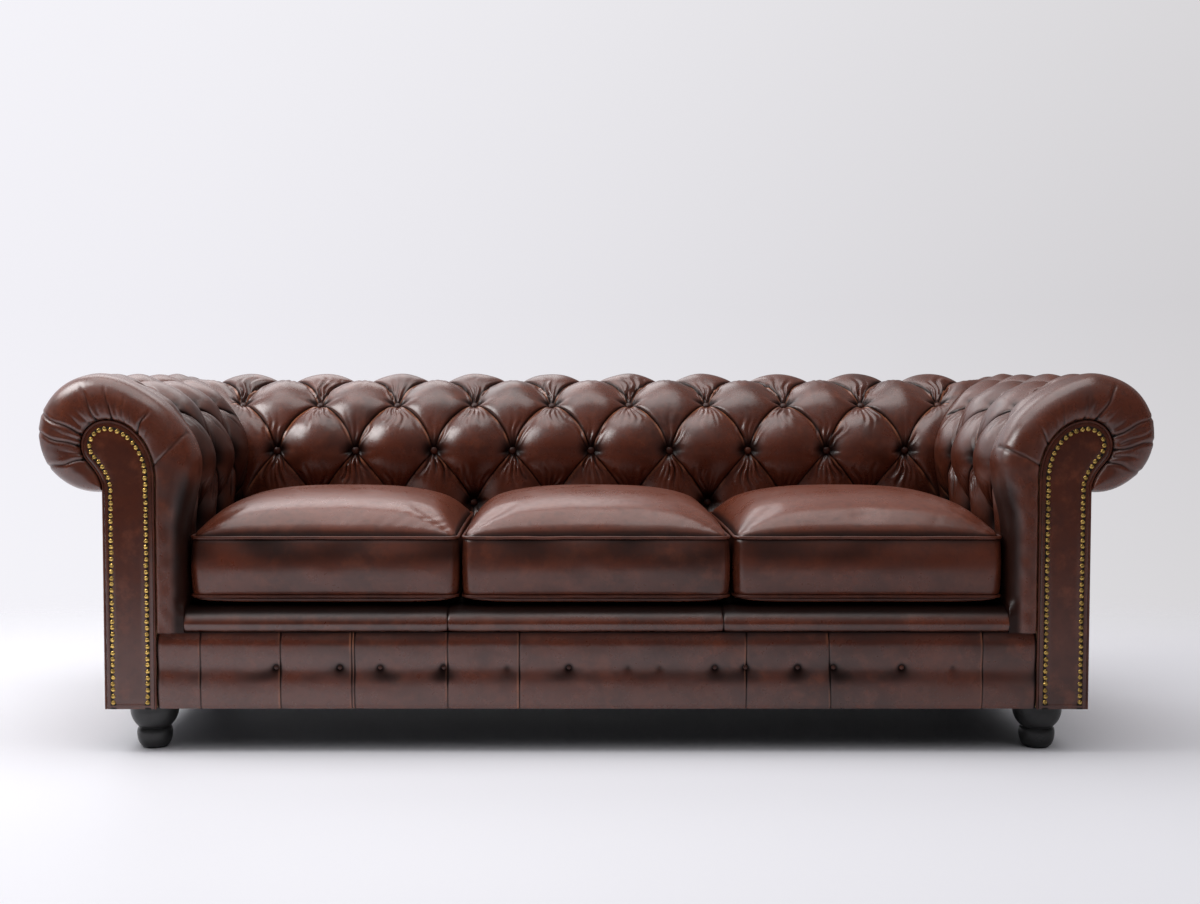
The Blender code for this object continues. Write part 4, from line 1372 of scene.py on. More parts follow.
def inside_arm(side: Side) -> ButtonedWall:
    """A buttoned inside arm, from the scroll border to the mitre with the back.

    Args:
        side: Which arm.

    Returns:
        The wall, not yet built.
    """
    first = -SIZES.half_depth + 0.115
    seam = SIZES.border_rear + SIZES.gap
    ease = SIZES.half_width - SIZES.half_depth + SIZES.gap
    cuts = [((side.value * ease, 0, 0), (-side.value, 1, 0)), ((0, seam, 0), (0, -1, 0))]

    def place_at(insets: Array, heights: Array, along: Array) -> Array:
        """Places in the room, where Y runs along the wall."""
        xs = SIZES.room_x(side, insets)
        return np.stack(np.broadcast_arrays(xs, along, heights), axis=-1)

    name = f"{side.word}_inside_arm"
    reach = (seam, SIZES.half_depth)
    # Painted shade: the left arm's inner wall, which faces away from the light at the left, is darkened
    # more than the right one.
    shade = {Side.LEFT: 0.42, Side.RIGHT: 0.18}[side]
    return ButtonedWall(name, first, reach, place_at, cuts, SIZES.half_depth, seam, shade=shade)


# Arm fronts


@dataclass(frozen=True)
class Pleat:
    """A gathered fold across the scroll border."""

    angle: float
    start: float = 0.0
    end: float = 1.0
    depth: float = 0.004
    width: float = 0.003
    slant: float = 0.0


LEFT_PLEATS = (
    Pleat(214, 0.0, 1.3, 0.0055, 0.0032, -0.003),
    Pleat(199, 0.0, 0.5, 0.002),
    Pleat(182, 0.0, 1.3, 0.006, 0.003),
    Pleat(171, 0.0, 0.6, 0.0024),
    Pleat(156, 0.0, 1.3, 0.0065, 0.003, -0.006),
    Pleat(143, 0.1, 0.55, 0.0022),
    Pleat(127, 0.0, 0.5, 0.002),
    Pleat(110, 0.0, 0.85, 0.005, 0.0026, 0.004),
    Pleat(98, 0.1, 0.5, 0.0022),
    Pleat(75, 0.0, 0.8, 0.0058, 0.0028, -0.003),
    Pleat(64, 0.05, 0.5, 0.0024),
    Pleat(52, 0.05, 0.7, 0.0036, 0.0028, 0.005),
    Pleat(38, 0.1, 0.55, 0.0026, 0.0026, 0.006),
    Pleat(21, 0.0, 0.75, 0.0066, 0.003, 0.012),
    Pleat(8, 0.05, 0.4, 0.0022, 0.0026, 0.006),
)
RIGHT_PLEATS = (
    Pleat(219, 0.0, 1.2, 0.005, 0.003, -0.004),
    Pleat(206, 0.05, 0.7, 0.003),
    Pleat(191, 0.0, 1.3, 0.006, 0.003, 0.002),
    Pleat(181, 0.1, 0.9, 0.0032, 0.0026, 0.004),
    Pleat(160, 0.0, 1.3, 0.006, 0.003, -0.004),
    Pleat(147, 0.1, 0.5, 0.002),
    Pleat(128, 0.0, 0.5, 0.0018),
    Pleat(108, 0.0, 0.95, 0.0062, 0.0026, -0.003),
    Pleat(94, 0.05, 0.5, 0.0022),
    Pleat(79, 0.0, 0.6, 0.0038, 0.0026, 0.002),
    Pleat(60, 0.0, 0.4, 0.002),
    Pleat(38, 0.05, 0.7, 0.0036, 0.0028, 0.005),
    Pleat(22, 0.1, 0.6, 0.0024),
    Pleat(1, 0.0, 0.6, 0.0056, 0.0024, 0.001),
)


@dataclass
class ArmFront:
    """The front of one arm: scroll border, facing, welt, gimp band and nails."""

    side: Side
    pleats: Sequence[Pleat]
    scroll: Scroll = field(default_factory=Scroll)
    section: Sequence[tuple[float, float]] = (
        *((0.0, 0.016), (0.025, 0.0085), (0.08, 0.0035), (0.19, 0.0008), (0.36, 0.0), (0.55, 0.003)),
        *((0.73, 0.0105), (0.87, 0.0225), (0.955, 0.037), (0.992, 0.056), (1.0, 0.08)),
    )
    counts: Sequence[int] = (64, 56, 76, 16, 18)
    evening: int = 17
    puffiness: float = 0.0009
    pleat_share: float = 0.55
    seam_depth: float = 0.0021
    seam_width: float = 0.0022
    merge_height: float = 0.316
    merge_reach: float = 0.03
    merge_setback: float = 0.0055
    facing_steps: Sequence[tuple[float, float]] = (
        *((0.0022, 0.0009), (0.0035, 0.0006), (0.0035, -0.0009)),
        *((0.0035, 0.0004), (0.005, 0.0012), (0.007, 0.0004)),
    )
    spacing: float = 0.004
    nail_inset: float = 0.0175
    nail_pitch: float = 0.0125
    nail_radius: float = 0.0051
    nail_rise: float = 0.0034
    nail_scatter: float = 0.0009
    nail_sway: float = 0.0006
    nail_tilt: float = 0.26
    band_width: float = 0.0125
    band_thickness: float = 0.0011

    def build(self) -> None:
        """Build every piece of the arm's front."""
        self.border()
        self.facing()
        self.welt()
        self.band()
        self.nails()

    def stations(self) -> tuple[Array, Array, Path]:
        """Lay out the border's stations, from the arm's outer foot up and round to the seat.

        Returns:
            Arc lengths on the facing's outline, the one beside each on the roll, and the outline.
        """
        inner = self.scroll.path(SIZES.gap)
        middle, height = self.scroll.centre
        lean_start = SIZES.shoulder_height - SIZES.lean_run
        start = 1 + round(self.scroll.neck_steps / 5)
        inner_keys = [
            inner.lengths[start],
            inner.nearest((middle - self.scroll.head_radius, height)),
            inner.nearest((middle, height + self.scroll.head_radius)),
            inner.nearest((SIZES.shaft, height - self.scroll.shoulder_drop)),
            inner.length - (lean_start - SIZES.base),
            inner.length - (SIZES.deck_bottom - SIZES.base),
        ]
        outer_keys = [
            ROLL.length,
            OUTERMOST,
            CREST,
            ROLL.nearest((SIZES.shoulder, SIZES.shoulder_height)),
            lean_start - SIZES.pad_bottom,
            SIZES.deck_bottom - SIZES.pad_bottom,
        ]
        spans = zip(inner_keys, inner_keys[1:], self.counts)
        near = np.concatenate([np.linspace(a, b, n, endpoint=False) for a, b, n in spans])
        near = np.append(near, inner_keys[-1])
        far = np.interp(near, inner_keys, outer_keys)
        half = self.evening // 2
        before = 2 * far[0] - far[half:0:-1]
        after = 2 * far[-1] - far[-2 : -2 - half : -1]
        padded = np.concatenate([before, far, after])
        return near, np.convolve(padded, np.ones(self.evening) / self.evening, "valid"), inner

    def border(self) -> None:
        """Leather border that rolls forward round the facing, gathered in pleats."""
        near, far, inner = self.stations()
        section = np.minimum(smooth_line(self.section, 5), (1.0, SIZES.border_depth))
        section = np.vstack([section, [(0.5, SIZES.border_depth)], [(0.0, SIZES.border_depth)]])
        shares, setbacks = section[:, 0], section[:, 1]
        near_inset, low = inner.at(near)
        far_inset, high = ROLL.at(np.maximum(far, 0.0))
        below = np.minimum(far, 0.0)
        insets = lerp(near_inset[:, None], far_inset[:, None], shares)
        heights = lerp(low[:, None], (high + below)[:, None], shares)
        merge = smoothstep((self.merge_height - heights) / self.merge_reach)
        shown = setbacks < SIZES.border_depth - 0.001
        merge = merge * ((shares > 0.3) & shown)
        ys = -SIZES.half_depth + lerp(setbacks, np.minimum(setbacks, self.merge_setback), merge)
        points = np.stack([SIZES.room_x(self.side, insets), ys, heights], axis=-1)
        depth = self.pleat_depths(near, near_inset, low, shares)
        soft = ripple(near[:, None] / 0.05, shares[None, :] * 1.6, 5 + self.side.value) + 1
        skin = shown & (shares > 0.02)
        out = facing_out(points) * self.side.value
        pressed = points - out * ((depth + self.puffiness * soft) * skin)[..., None]
        pressed[..., 1] = np.maximum(pressed[..., 1], -SIZES.half_depth)
        # Painted shadow on the shaft, low down beside the cushion.
        shade = smoothstep((shares - 0.4) / 0.4) * smoothstep((0.62 - heights) / 0.12)
        shade = shade * (near > near[len(near) // 2])[:, None]
        # Painted shade: dark in the pleat grooves, in the groove beside the facing's welt, and in the
        # shadow beside the cushion.
        hollow = np.clip(depth / 0.005 + 0.9 * np.exp(-shares / 0.035) + 0.6 * shade, 0, 1)
        name = f"{self.side.word}_scroll_border"
        bm = tube(pressed, values={"hollow": hollow})
        Piece(name, bm, LEATHER, "frame", [name], 0.8, 70.0).place()

    def pleat_depths(self, near: Array, insets: Array, heights: Array, shares: Array) -> Array:
        """Depth of the gathered pleats over the border.

        Args:
            near: Arc lengths on the facing's outline.
            insets: Insets of the outline there.
            heights: Heights of the outline there.
            shares: Shares of the way from the outline to the roll.

        Returns:
            Depths in metres, as arc lengths by shares.
        """
        middle, height = self.scroll.centre
        angles = np.degrees(np.arctan2(heights - height, insets - middle)) % 360
        angles = np.where(angles > 300, angles - 360, angles)
        total = np.zeros((len(near), len(shares)))
        for pleat in self.pleats:
            s = near[np.argmin(np.abs(angles - pleat.angle))]
            wander = 0.0012 * np.sin(shares * 9 + pleat.angle)
            away = near[:, None] - s - pleat.slant * shares - wander
            width = pleat.width * (0.85 - 0.4 * shares)
            groove = np.exp(-(np.abs(away / width) ** 1.5))
            puff = 0.3 * bell(np.abs(away) - 2.3 * width, 1.5 * width)
            window = smoothstep((shares - pleat.start + 0.02) / 0.06)
            window = window * fade(shares - pleat.end + 0.25, 0.3)
            total += self.pleat_share * pleat.depth * (groove - puff) * window * (1 - 0.45 * shares)
        return total + self.shoulder_seam(near, heights, shares)

    def shoulder_seam(self, near: Array, heights: Array, shares: Array) -> Array:
        """A sewn line that crosses the border at the shoulder.

        Args:
            near: Arc lengths on the facing's outline.
            heights: Heights of the outline there.
            shares: Shares of the way from the outline to the roll.

        Returns:
            Depths in metres, as arc lengths by shares.
        """
        rise = {Side.LEFT: 0.012, Side.RIGHT: -0.006}[self.side]
        away = heights[:, None] - (SIZES.shoulder_height - 0.004) - rise * shares[None, :]
        on_shaft = (near > near[len(near) // 2])[:, None]
        return self.seam_depth * bell(away, self.seam_width) * on_shaft * (shares < 0.99)[None, :]

    def facing(self) -> None:
        """Leather-covered facing, slightly crowned and drawn down along its nails."""
        outline = self.scroll.path(-2 * SIZES.welt_radius - SIZES.gap).points
        front = SIZES.facing_front
        bm = bmesh.new()
        ring = [bm.verts.new((SIZES.room_x(self.side, i), front, h)) for i, h in outline]
        face = bm.faces.new(ring)
        face.normal_update()
        if face.normal.y > 0:
            face.normal_flip()
        back = bmesh.ops.extrude_face_region(bm, geom=[face])
        front_face = next(f for f in back["geom"] if isinstance(f, bmesh.types.BMFace))
        back_faces = [f for f in bm.faces if f is not front_face and len(f.verts) > 4]
        shift = (0, SIZES.facing_thickness, 0)
        bmesh.ops.translate(bm, vec=shift, verts=list({v for f in back_faces for v in f.verts}))
        rim = [front_face]
        for width, rise in self.facing_steps:
            bmesh.ops.inset_region(bm, faces=rim, thickness=width, depth=rise, use_even_offset=True)
        bmesh.ops.triangulate(bm, faces=[f for f in bm.faces if len(f.verts) > 4])
        bmesh.ops.recalc_face_normals(bm, faces=bm.faces)
        limit = -SIZES.half_depth + 0.001
        for vert in bm.verts:
            vert.co.y = max(vert.co.y, limit)
        name = f"{self.side.word}_arm_facing"
        Piece(name, bm, FACING_LEATHER, "frame", [name], 0.9, 50.0).place()

    def outline_points(self, grow: float, y: float) -> tuple[Array, Path, Array]:
        """Points along the facing's outline, at an even spacing.

        Args:
            grow: How far the outline moves outwards.
            y: The plane that the points lie in.

        Returns:
            The points, the outline and their arc lengths on it.
        """
        path = self.scroll.path(grow)
        s = np.linspace(0, path.length, int(path.length / self.spacing) + 1)
        insets, heights = path.at(s)
        xs = SIZES.room_x(self.side, insets)
        return np.column_stack([xs, np.full(len(s), y), heights]), path, s

    def welt(self) -> None:
        """Thin welt between the facing and the border."""
        y = SIZES.facing_front + SIZES.welt_radius / 2
        points, _, _ = self.outline_points(-SIZES.welt_radius, y)
        name = f"{self.side.word}_facing_welt"
        bm = round_tube(points, SIZES.welt_radius, (0, 1, 0), False, 3)
        Piece(name, bm, WELT_LEATHER, "frame", [name]).place()

    def band(self) -> None:
        """Dark gimp band that the nails hold down."""
        half, rise = self.band_width / 2, self.band_thickness
        points, path, s = self.outline_points(-self.nail_inset, SIZES.facing_front)
        across, up = path.normal(s)
        section = ((-half, 0.0005), (-half, -rise * 0.6), (-half * 0.8, -rise), (half * 0.8, -rise))
        section += ((half, -rise * 0.6), (half, 0.0005))
        rings = []
        for w, depth in section:
            shift = np.column_stack([-self.side.value * across * w, np.full(len(s), depth), up * w])
            rings.append(points + shift)
        bm = tube(np.stack(rings, axis=1))
        Piece(f"{self.side.word}_gimp_band", bm, GIMP, sharp=40.0).place()

    def nails(self) -> None:
        """Domed brass nails, driven a little unevenly along the band."""
        path = self.scroll.path(-self.nail_inset)
        count = int((path.length - 4 * self.nail_radius) / self.nail_pitch)
        start = (path.length - count * self.nail_pitch) / 2
        rng = np.random.default_rng(40 + self.side.value)
        bm = bmesh.new()
        for k in range(count + 1):
            s = start + k * self.nail_pitch + rng.uniform(-self.nail_scatter, self.nail_scatter)
            inset, height = path.at(s)
            x = SIZES.room_x(self.side, inset) + rng.uniform(-self.nail_sway, self.nail_sway)
            place = (x, SIZES.facing_front - self.band_thickness * 0.8, float(height))
            tilt = Matrix.Rotation(rng.uniform(-self.nail_tilt, self.nail_tilt), 4, "X")
            tilt = tilt @ Matrix.Rotation(rng.uniform(-self.nail_tilt, self.nail_tilt), 4, "Z")
            squash = Matrix.Diagonal((1, 1, self.nail_rise / self.nail_radius, 1))
            matrix = Matrix.Translation(place) @ tilt @ Matrix.Rotation(math.pi / 2, 4, "X") @ squash
            radius = self.nail_radius
            bmesh.ops.create_uvsphere(bm, u_segments=9, v_segments=6, radius=radius, matrix=matrix)
        cut = SIZES.facing_front + 0.0006
        geometry = [*bm.verts, *bm.edges, *bm.faces]
        bmesh.ops.bisect_plane(
            bm, geom=geometry, dist=1e-7, plane_co=(0, cut, 0), plane_no=(0, 1, 0), clear_outer=True
        )
        name = f"{self.side.word}_nail_trim"
        Piece(name, seal(bm, 1e-7), BRASS, "frame", [name], sharp=80.0).place()


# Leather round the seat


@dataclass
class FrontRail:
    """The border over the front rail with its pleats and buttons, and the lip above it."""

    pleats: Sequence[tuple[float, float]] = (
        *((-0.7913, 0.0), (-0.6311, 0.0), (-0.4887, 0.0), (-0.4832, 0.0), (-0.2974, 0.0)),
        *((-0.1539, 0.0), (0.2996, 0.0), (0.4693, -0.006), (0.7713, 0.0)),
    )
    buttons: Sequence[tuple[float, float]] = (
        *((-0.64, 1.0), (-0.513, 1.0), (-0.4323, 0.8), (-0.3051, 1.0), (-0.1788, 0.4)),
        *((-0.0554, 0.9), (0.0628, 0.4), (0.1259, 0.4), (0.2364, 0.8), (0.2976, 0.9)),
        *((0.402, 1.0), (0.4733, 0.9), (0.6101, 1.0), (0.7119, 0.35)),
    )
    columns: int = 300
    rows: int = 46
    line_gap: float = 0.0005
    button_height: float = 0.1725
    button_sink: float = 0.0072
    dimple_depth: float = 0.0035
    dimple_reach: float = 0.009
    stain_height: float = 0.153
    pleat_depth: float = 0.0016
    pleat_width: float = 0.0016
    # Strength of painted shade in the pleats' grooves.
    pleat_hollow: float = 0.62
    bottom_round: tuple[float, float] = (0.004, 0.012)
    top_round: tuple[float, float] = (0.007, 0.032)
    button_groove: tuple[float, float] = (0.0042, 0.021)
    bottom_groove: tuple[float, float] = (0.0035, 0.02)
    lip_seams: Sequence[float] = (-0.297, 0.2535)
    lip_seam_width: float = 0.0016
    lip_seam_draw: float = 0.0022
    lip_settle: float = 0.0015
    lip_drop: float = 0.009

    def build(self) -> None:
        """Build the border, its buttons and the lip."""
        self.border()
        self.lip()

    def border_lines(self, low: float, high: float) -> Array:
        """Lay out the border's grid lines, closer beside its pleats and its buttons.

        Args:
            low: The border's left end.
            high: Its right end.

        Returns:
            Their places along X.
        """
        lines = [np.linspace(low, high, self.columns)]
        for x, _ in self.pleats:
            lines.append(x + np.array([-4, -2.5, -1.5, -0.8, 0, 0.8, 1.5, 2.5, 4]) * self.pleat_width)
        for x, _ in self.buttons:
            lines.append(x + np.linspace(-0.012, 0.012, 9))
        merged = np.unique(np.concatenate(lines).round(5))
        return merged[np.concatenate([[True], np.diff(merged) > self.line_gap])]

    def border(self) -> None:
        """Pleated leather border, dimpled by its buttons."""
        low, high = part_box("front_border")
        xs = self.border_lines(low.x, high.x)
        zs = np.linspace(low.z, high.z, self.rows)
        grid_x, grid_z = np.meshgrid(xs, zs)
        ends = from_ends(grid_x, low.x, high.x)
        depth = self.bottom_round[0] * fade(grid_z - low.z, self.bottom_round[1]) ** 2
        depth = depth + self.top_round[0] * fade(high.z - grid_z, self.top_round[1]) ** 2
        drawn = 0.75 + 0.25 * ripple(grid_x / 0.22, 0.0, 23)
        grooves = ((self.button_height - 0.003, self.button_groove), (low.z, self.bottom_groove))
        for height, (amount, spread) in grooves:
            depth = depth + amount * drawn * bell(grid_z - height, spread)
        depth = depth + 0.004 * np.exp(-ends / 0.004)
        depth = depth + 0.0009 * (1 + ripple(grid_x / 0.16, grid_z / 0.12, 21))
        # Painted shadow just under the lip along the top, and painted shade in the recessed ends.
        hollow = np.maximum(0.6 * np.exp(-(high.z - grid_z) / 0.006), np.exp(-ends / 0.0035))
        rubbed = np.zeros(grid_x.shape)
        for x, lean in self.pleats:
            away = grid_x - x - lean * (grid_z - low.z) / (high.z - low.z)
            groove = bell(away, self.pleat_width)
            tuck = 0.0011 * smoothstep(away / 0.004 + 0.5) * np.exp(-np.maximum(away, 0) / 0.02)
            depth = depth + self.pleat_depth * groove + tuck
            # Painted shade in each pleat's groove.
            hollow = hollow + self.pleat_hollow * groove
            # Painted highlight: a patchy orange line beside each pleat.
            line = bell(away + 1.9 * self.pleat_width, 0.8 * self.pleat_width)
            rubbed = rubbed + 0.45 * line * np.clip(0.35 + 1.2 * ripple(grid_z / 0.07, x * 9, 29), 0, 1)
        for x, size in self.buttons:
            r = np.hypot(grid_x - x, grid_z - self.button_height)
            depth = depth + size * self.dimple_depth * bell(r, self.dimple_reach)
            stain = np.hypot((grid_x - x) * 0.7, grid_z - self.button_height + 0.009)
            # Painted shade in each button's dimple, and a broad darker patch just below it.
            hollow = hollow + size * (0.8 * bell(r, 0.0075) + 0.38 * bell(stain, 0.02))
        streaks = np.clip(0.5 + 0.9 * ripple(grid_x / 0.07, grid_z / 0.3, 27), 0, 1)
        hollow = hollow + 0.42 * streaks * bell(grid_z - self.stain_height, 0.016)
        front = np.stack([grid_x, low.y + depth, grid_z], axis=-1)
        bm = slab(front, 1, high.y, {"hollow": np.clip(hollow * (1 - rubbed), 0, 1), "edge": rubbed})
        Piece("front_border", bm, LEATHER, "frame", ["front_border"], 0.9, 50.0).place()
        self.dimple_buttons(low.y)

    def dimple_buttons(self, front: float) -> None:
        """Small leather buttons in the border's dimples.

        Args:
            front: Depth of the border's front plane.
        """
        bm = bmesh.new()
        for x, size in self.buttons:
            radius = 0.0028 + 0.002 * size
            place = Matrix.Translation((x, front + self.button_sink, self.button_height))
            matrix = place @ Matrix.Rotation(math.pi / 2, 4, "X") @ Matrix.Diagonal((1, 1, 0.55, 1))
            bmesh.ops.create_uvsphere(bm, u_segments=16, v_segments=8, radius=radius, matrix=matrix)
        Piece("front_border_buttons", bm, BUTTON_LEATHER).place()

    def lip(self) -> None:
        """Padded lip in three lengths, sewn end to end."""
        low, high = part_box("front_lip")
        top = high.z - self.lip_drop
        upper = ((0.045, 0.0), (0.026, 0.004), (0.0125, 0.0115), (0.0035, 0.0215))
        lower = ((0.0, 0.0185), (0.001, 0.0115), (0.0042, 0.0055), (0.0095, 0.0012), (0.018, 0.0))
        keys = [(low.y + back, top - fall) for back, fall in upper]
        keys += [(low.y + back, low.z + rise) for back, rise in lower]
        round_part = smooth_line(keys, 5)
        outline = np.vstack([(high.y, low.z), (high.y, top), (low.y + 0.06, top), round_part])
        lines = [np.linspace(low.x, high.x, 160)]
        for x in self.lip_seams:
            lines.append(x + np.array([-6, -3.5, -2, -1, 0, 1, 2, 3.5, 6]) * self.lip_seam_width)
        xs = np.unique(np.concatenate(lines))
        seam = sum(bell(xs - x, self.lip_seam_width) for x in self.lip_seams)
        settle = sum(bell(xs - x, 10 * self.lip_seam_width) for x in self.lip_seams)
        soft = 1 + ripple(xs / 0.14, 0.0, 31)
        draw = self.lip_seam_draw * seam + self.lip_settle * settle + 0.0007 * soft
        centre = np.array([low.y + 0.035, (low.z + high.z) / 2])
        inwards = centre - outline
        inwards /= np.linalg.norm(inwards, axis=1)[:, None]
        shown = (outline[:, 0] < low.y + 0.05)[None, :, None]
        section = outline[None] + inwards[None] * draw[:, None, None] * shown
        across = np.broadcast_to(xs[:, None, None], (*section.shape[:2], 1))
        rings = np.concatenate([across, section], axis=2)
        # Dark along the seams, and painted shade beneath the lip's lower roll and over its top, where the
        # cushions shadow it.
        under = np.exp(-(outline[:, 1] - low.z) / 0.005) * (outline[:, 0] < low.y + 0.05)
        above = smoothstep((outline[:, 1] - top + 0.026) / 0.02)
        hollow = np.clip(0.7 * seam[:, None] + 0.6 * under[None, :] + 0.72 * above[None, :], 0, 1)
        bm = tube(rings, values={"hollow": hollow})
        Piece("front_lip", bm, LEATHER, "frame", ["front_lip"], 0.85, 50.0).place()


@dataclass
class OutsidePanels:
    """Leather stretched over the outside of the arms and of the back."""

    pull: float = 0.0016
    pulls: float = 0.075

    def build(self) -> None:
        """Build the two arm panels and the back panel."""
        for side in Side:
            self.panel(f"{side.word}_outside_arm", 1, 0, side.value)
        self.panel("outside_back", 0, 1, 1)

    def panel(self, name: str, run: int, across: int, way: int) -> None:
        """One panel, with small pulls along its tacked top edge.

        Args:
            name: The frame's node.
            run: The axis that the panel runs along.
            across: The axis of its thickness.
            way: Which way its outer face looks along that axis.
        """
        low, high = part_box(name)
        runs = np.linspace(low[run], high[run], int((high[run] - low[run]) / 0.009))
        zs = np.linspace(low.z, high.z, 52)
        grid_run, grid_z = np.meshgrid(runs, zs)
        top = np.exp(-(high.z - grid_z) / 0.06)
        rim = np.minimum(from_ends(grid_run, low[run], high[run]), grid_z - low.z)
        wave = 1 + np.sin(2 * math.pi * grid_run / self.pulls + 2 * ripple(grid_run / 0.4, 0.0, 7))
        depth = self.pull * 0.5 * wave * top
        depth = depth + 0.0007 * (1 + ripple(grid_run / 0.35, grid_z / 0.25, 9))
        depth = depth + 0.0012 * fade(rim, 0.01)
        outer = high[across] if way > 0 else low[across]
        inner = low[across] if way > 0 else high[across]
        front = np.empty((*grid_run.shape, 3))
        front[..., run], front[..., 2] = grid_run, grid_z
        front[..., across] = outer - way * depth
        # Darker along the panel's edges and towards its top edge.
        bm = slab(front, across, inner, {"hollow": np.clip(0.35 * fade(rim, 0.012) + 0.25 * top, 0, 1)})
        Piece(name, bm, LEATHER, "frame", [name], 0.95).place()


@dataclass
class Underside:
    """The cloth under the frame, the sprung platform and the timber, each in its own finish."""

    cloth_thickness: float = 0.0006

    def build(self) -> None:
        """Dress the hidden parts."""
        self.dust_cover()
        self.platform()
        self.timber()

    def dust_cover(self) -> None:
        """Thin black cloth, a little uneven, stapled round its edge."""
        low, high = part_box("dust_cover")
        xs = np.linspace(low.x, high.x, 120)
        ys = np.linspace(low.y, high.y, 60)
        grid_x, grid_y = np.meshgrid(xs, ys)
        rise = 0.0004 * (1 + ripple(grid_x / 0.3, grid_y / 0.3, 13)) / 2
        below = np.stack([grid_x, grid_y, low.z + rise], axis=-1)
        above = below[::-1].copy()
        above[..., 2] += self.cloth_thickness
        bm = tube(np.concatenate([below, above]).transpose(1, 0, 2))
        cloth = Piece("dust_cover", bm, DUST_CLOTH, "frame", ["dust_cover"]).place()

    def platform(self) -> None:
        """Cloth-covered platform, quilted lightly over its springs."""
        low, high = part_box("seat_platform")
        xs = np.linspace(low.x, high.x, 150)
        ys = np.linspace(low.y, high.y, 60)
        grid_x, grid_y = np.meshgrid(xs, ys)
        rim = np.minimum(from_ends(grid_x, low.x, high.x), from_ends(grid_y, low.y, high.y))
        dip = 0.0012 * (1 + ripple(grid_x / 0.2, grid_y / 0.2, 17)) + 0.008 * fade(rim, 0.02)
        bm = slab(np.stack([grid_x, grid_y, high.z - dip], axis=-1), 2, low.z)
        Piece("seat_platform", bm, DECK_CLOTH, "frame", ["seat_platform"], 0.9).place()

    def timber(self) -> None:
        """Finish the frame's own nodes that keep their shape."""
        for name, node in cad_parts.items():
            if node.hide_render:
                continue
            low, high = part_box(name)
            sides = high - low
            axis = "XYZ"[max(range(3), key=lambda k: sides[k])]
            finish = JUTE if name == "seat_webbing" else HARDWOODS[axis]
            node.data.materials.clear()
            node.data.materials.append(finish.build())


@dataclass
class Foot:
    """A turned bun foot with its hanger bolt."""

    name: str
    profile: Sequence[tuple[float, float]] = (
        *((0.0485, 0.93), (0.0484, 0.83), (0.0462, 0.72), (0.0422, 0.62), (0.0367, 0.535)),
        *((0.0322, 0.485), (0.0318, 0.465), (0.0342, 0.44), (0.0355, 0.38), (0.0357, 0.31)),
        *((0.0342, 0.19), (0.0297, 0.07), (0.0228, 0.0)),
    )
    stud_radius: float = 0.004
    top_chamfer: tuple[float, float] = (0.0015, 0.0012)
    steps: int = 72

    def build(self) -> None:
        """Turn the foot's profile about its own axis."""
        low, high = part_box(self.name)
        x, y = (low.x + high.x) / 2, (low.y + high.y) / 2
        top = SIZES.base - SIZES.gap
        curve = [(r, share * SIZES.base) for r, share in smooth_line(self.profile, 6)]
        outline = [(0.0, high.z), (self.stud_radius, high.z), (self.stud_radius, top)]
        rim = self.profile[0][0]
        outline += [(rim - self.top_chamfer[0], top), (rim, top - self.top_chamfer[1]), *curve]
        outline.append((0.0, 0.0))
        bm = bmesh.new()
        verts = [bm.verts.new((x + r, y, z)) for r, z in outline]
        edges = [bm.edges.new(pair) for pair in zip(verts, verts[1:])]
        bmesh.ops.spin(
            bm,
            geom=[*verts, *edges],
            cent=(x, y, 0),
            axis=(0, 0, 1),
            angle=2 * math.pi,
            steps=self.steps,
            use_merge=True,
        )
        bmesh.ops.remove_doubles(bm, verts=bm.verts, dist=1e-5)
        bmesh.ops.recalc_face_normals(bm, faces=bm.faces)
        Piece(self.name, bm, BLACK_LACQUER, "frame", [self.name], sharp=35.0).place()


# Seat cushions

ON_FACE = 1 - 1e-6


@dataclass(frozen=True)
class Crease:
    """A small fold on a cushion's top, near its front welt."""

    x: float
    lean: float = 0.5
    length: float = 0.05
    depth: float = 0.0025
    width: float = 0.004
    start: float = 0.006


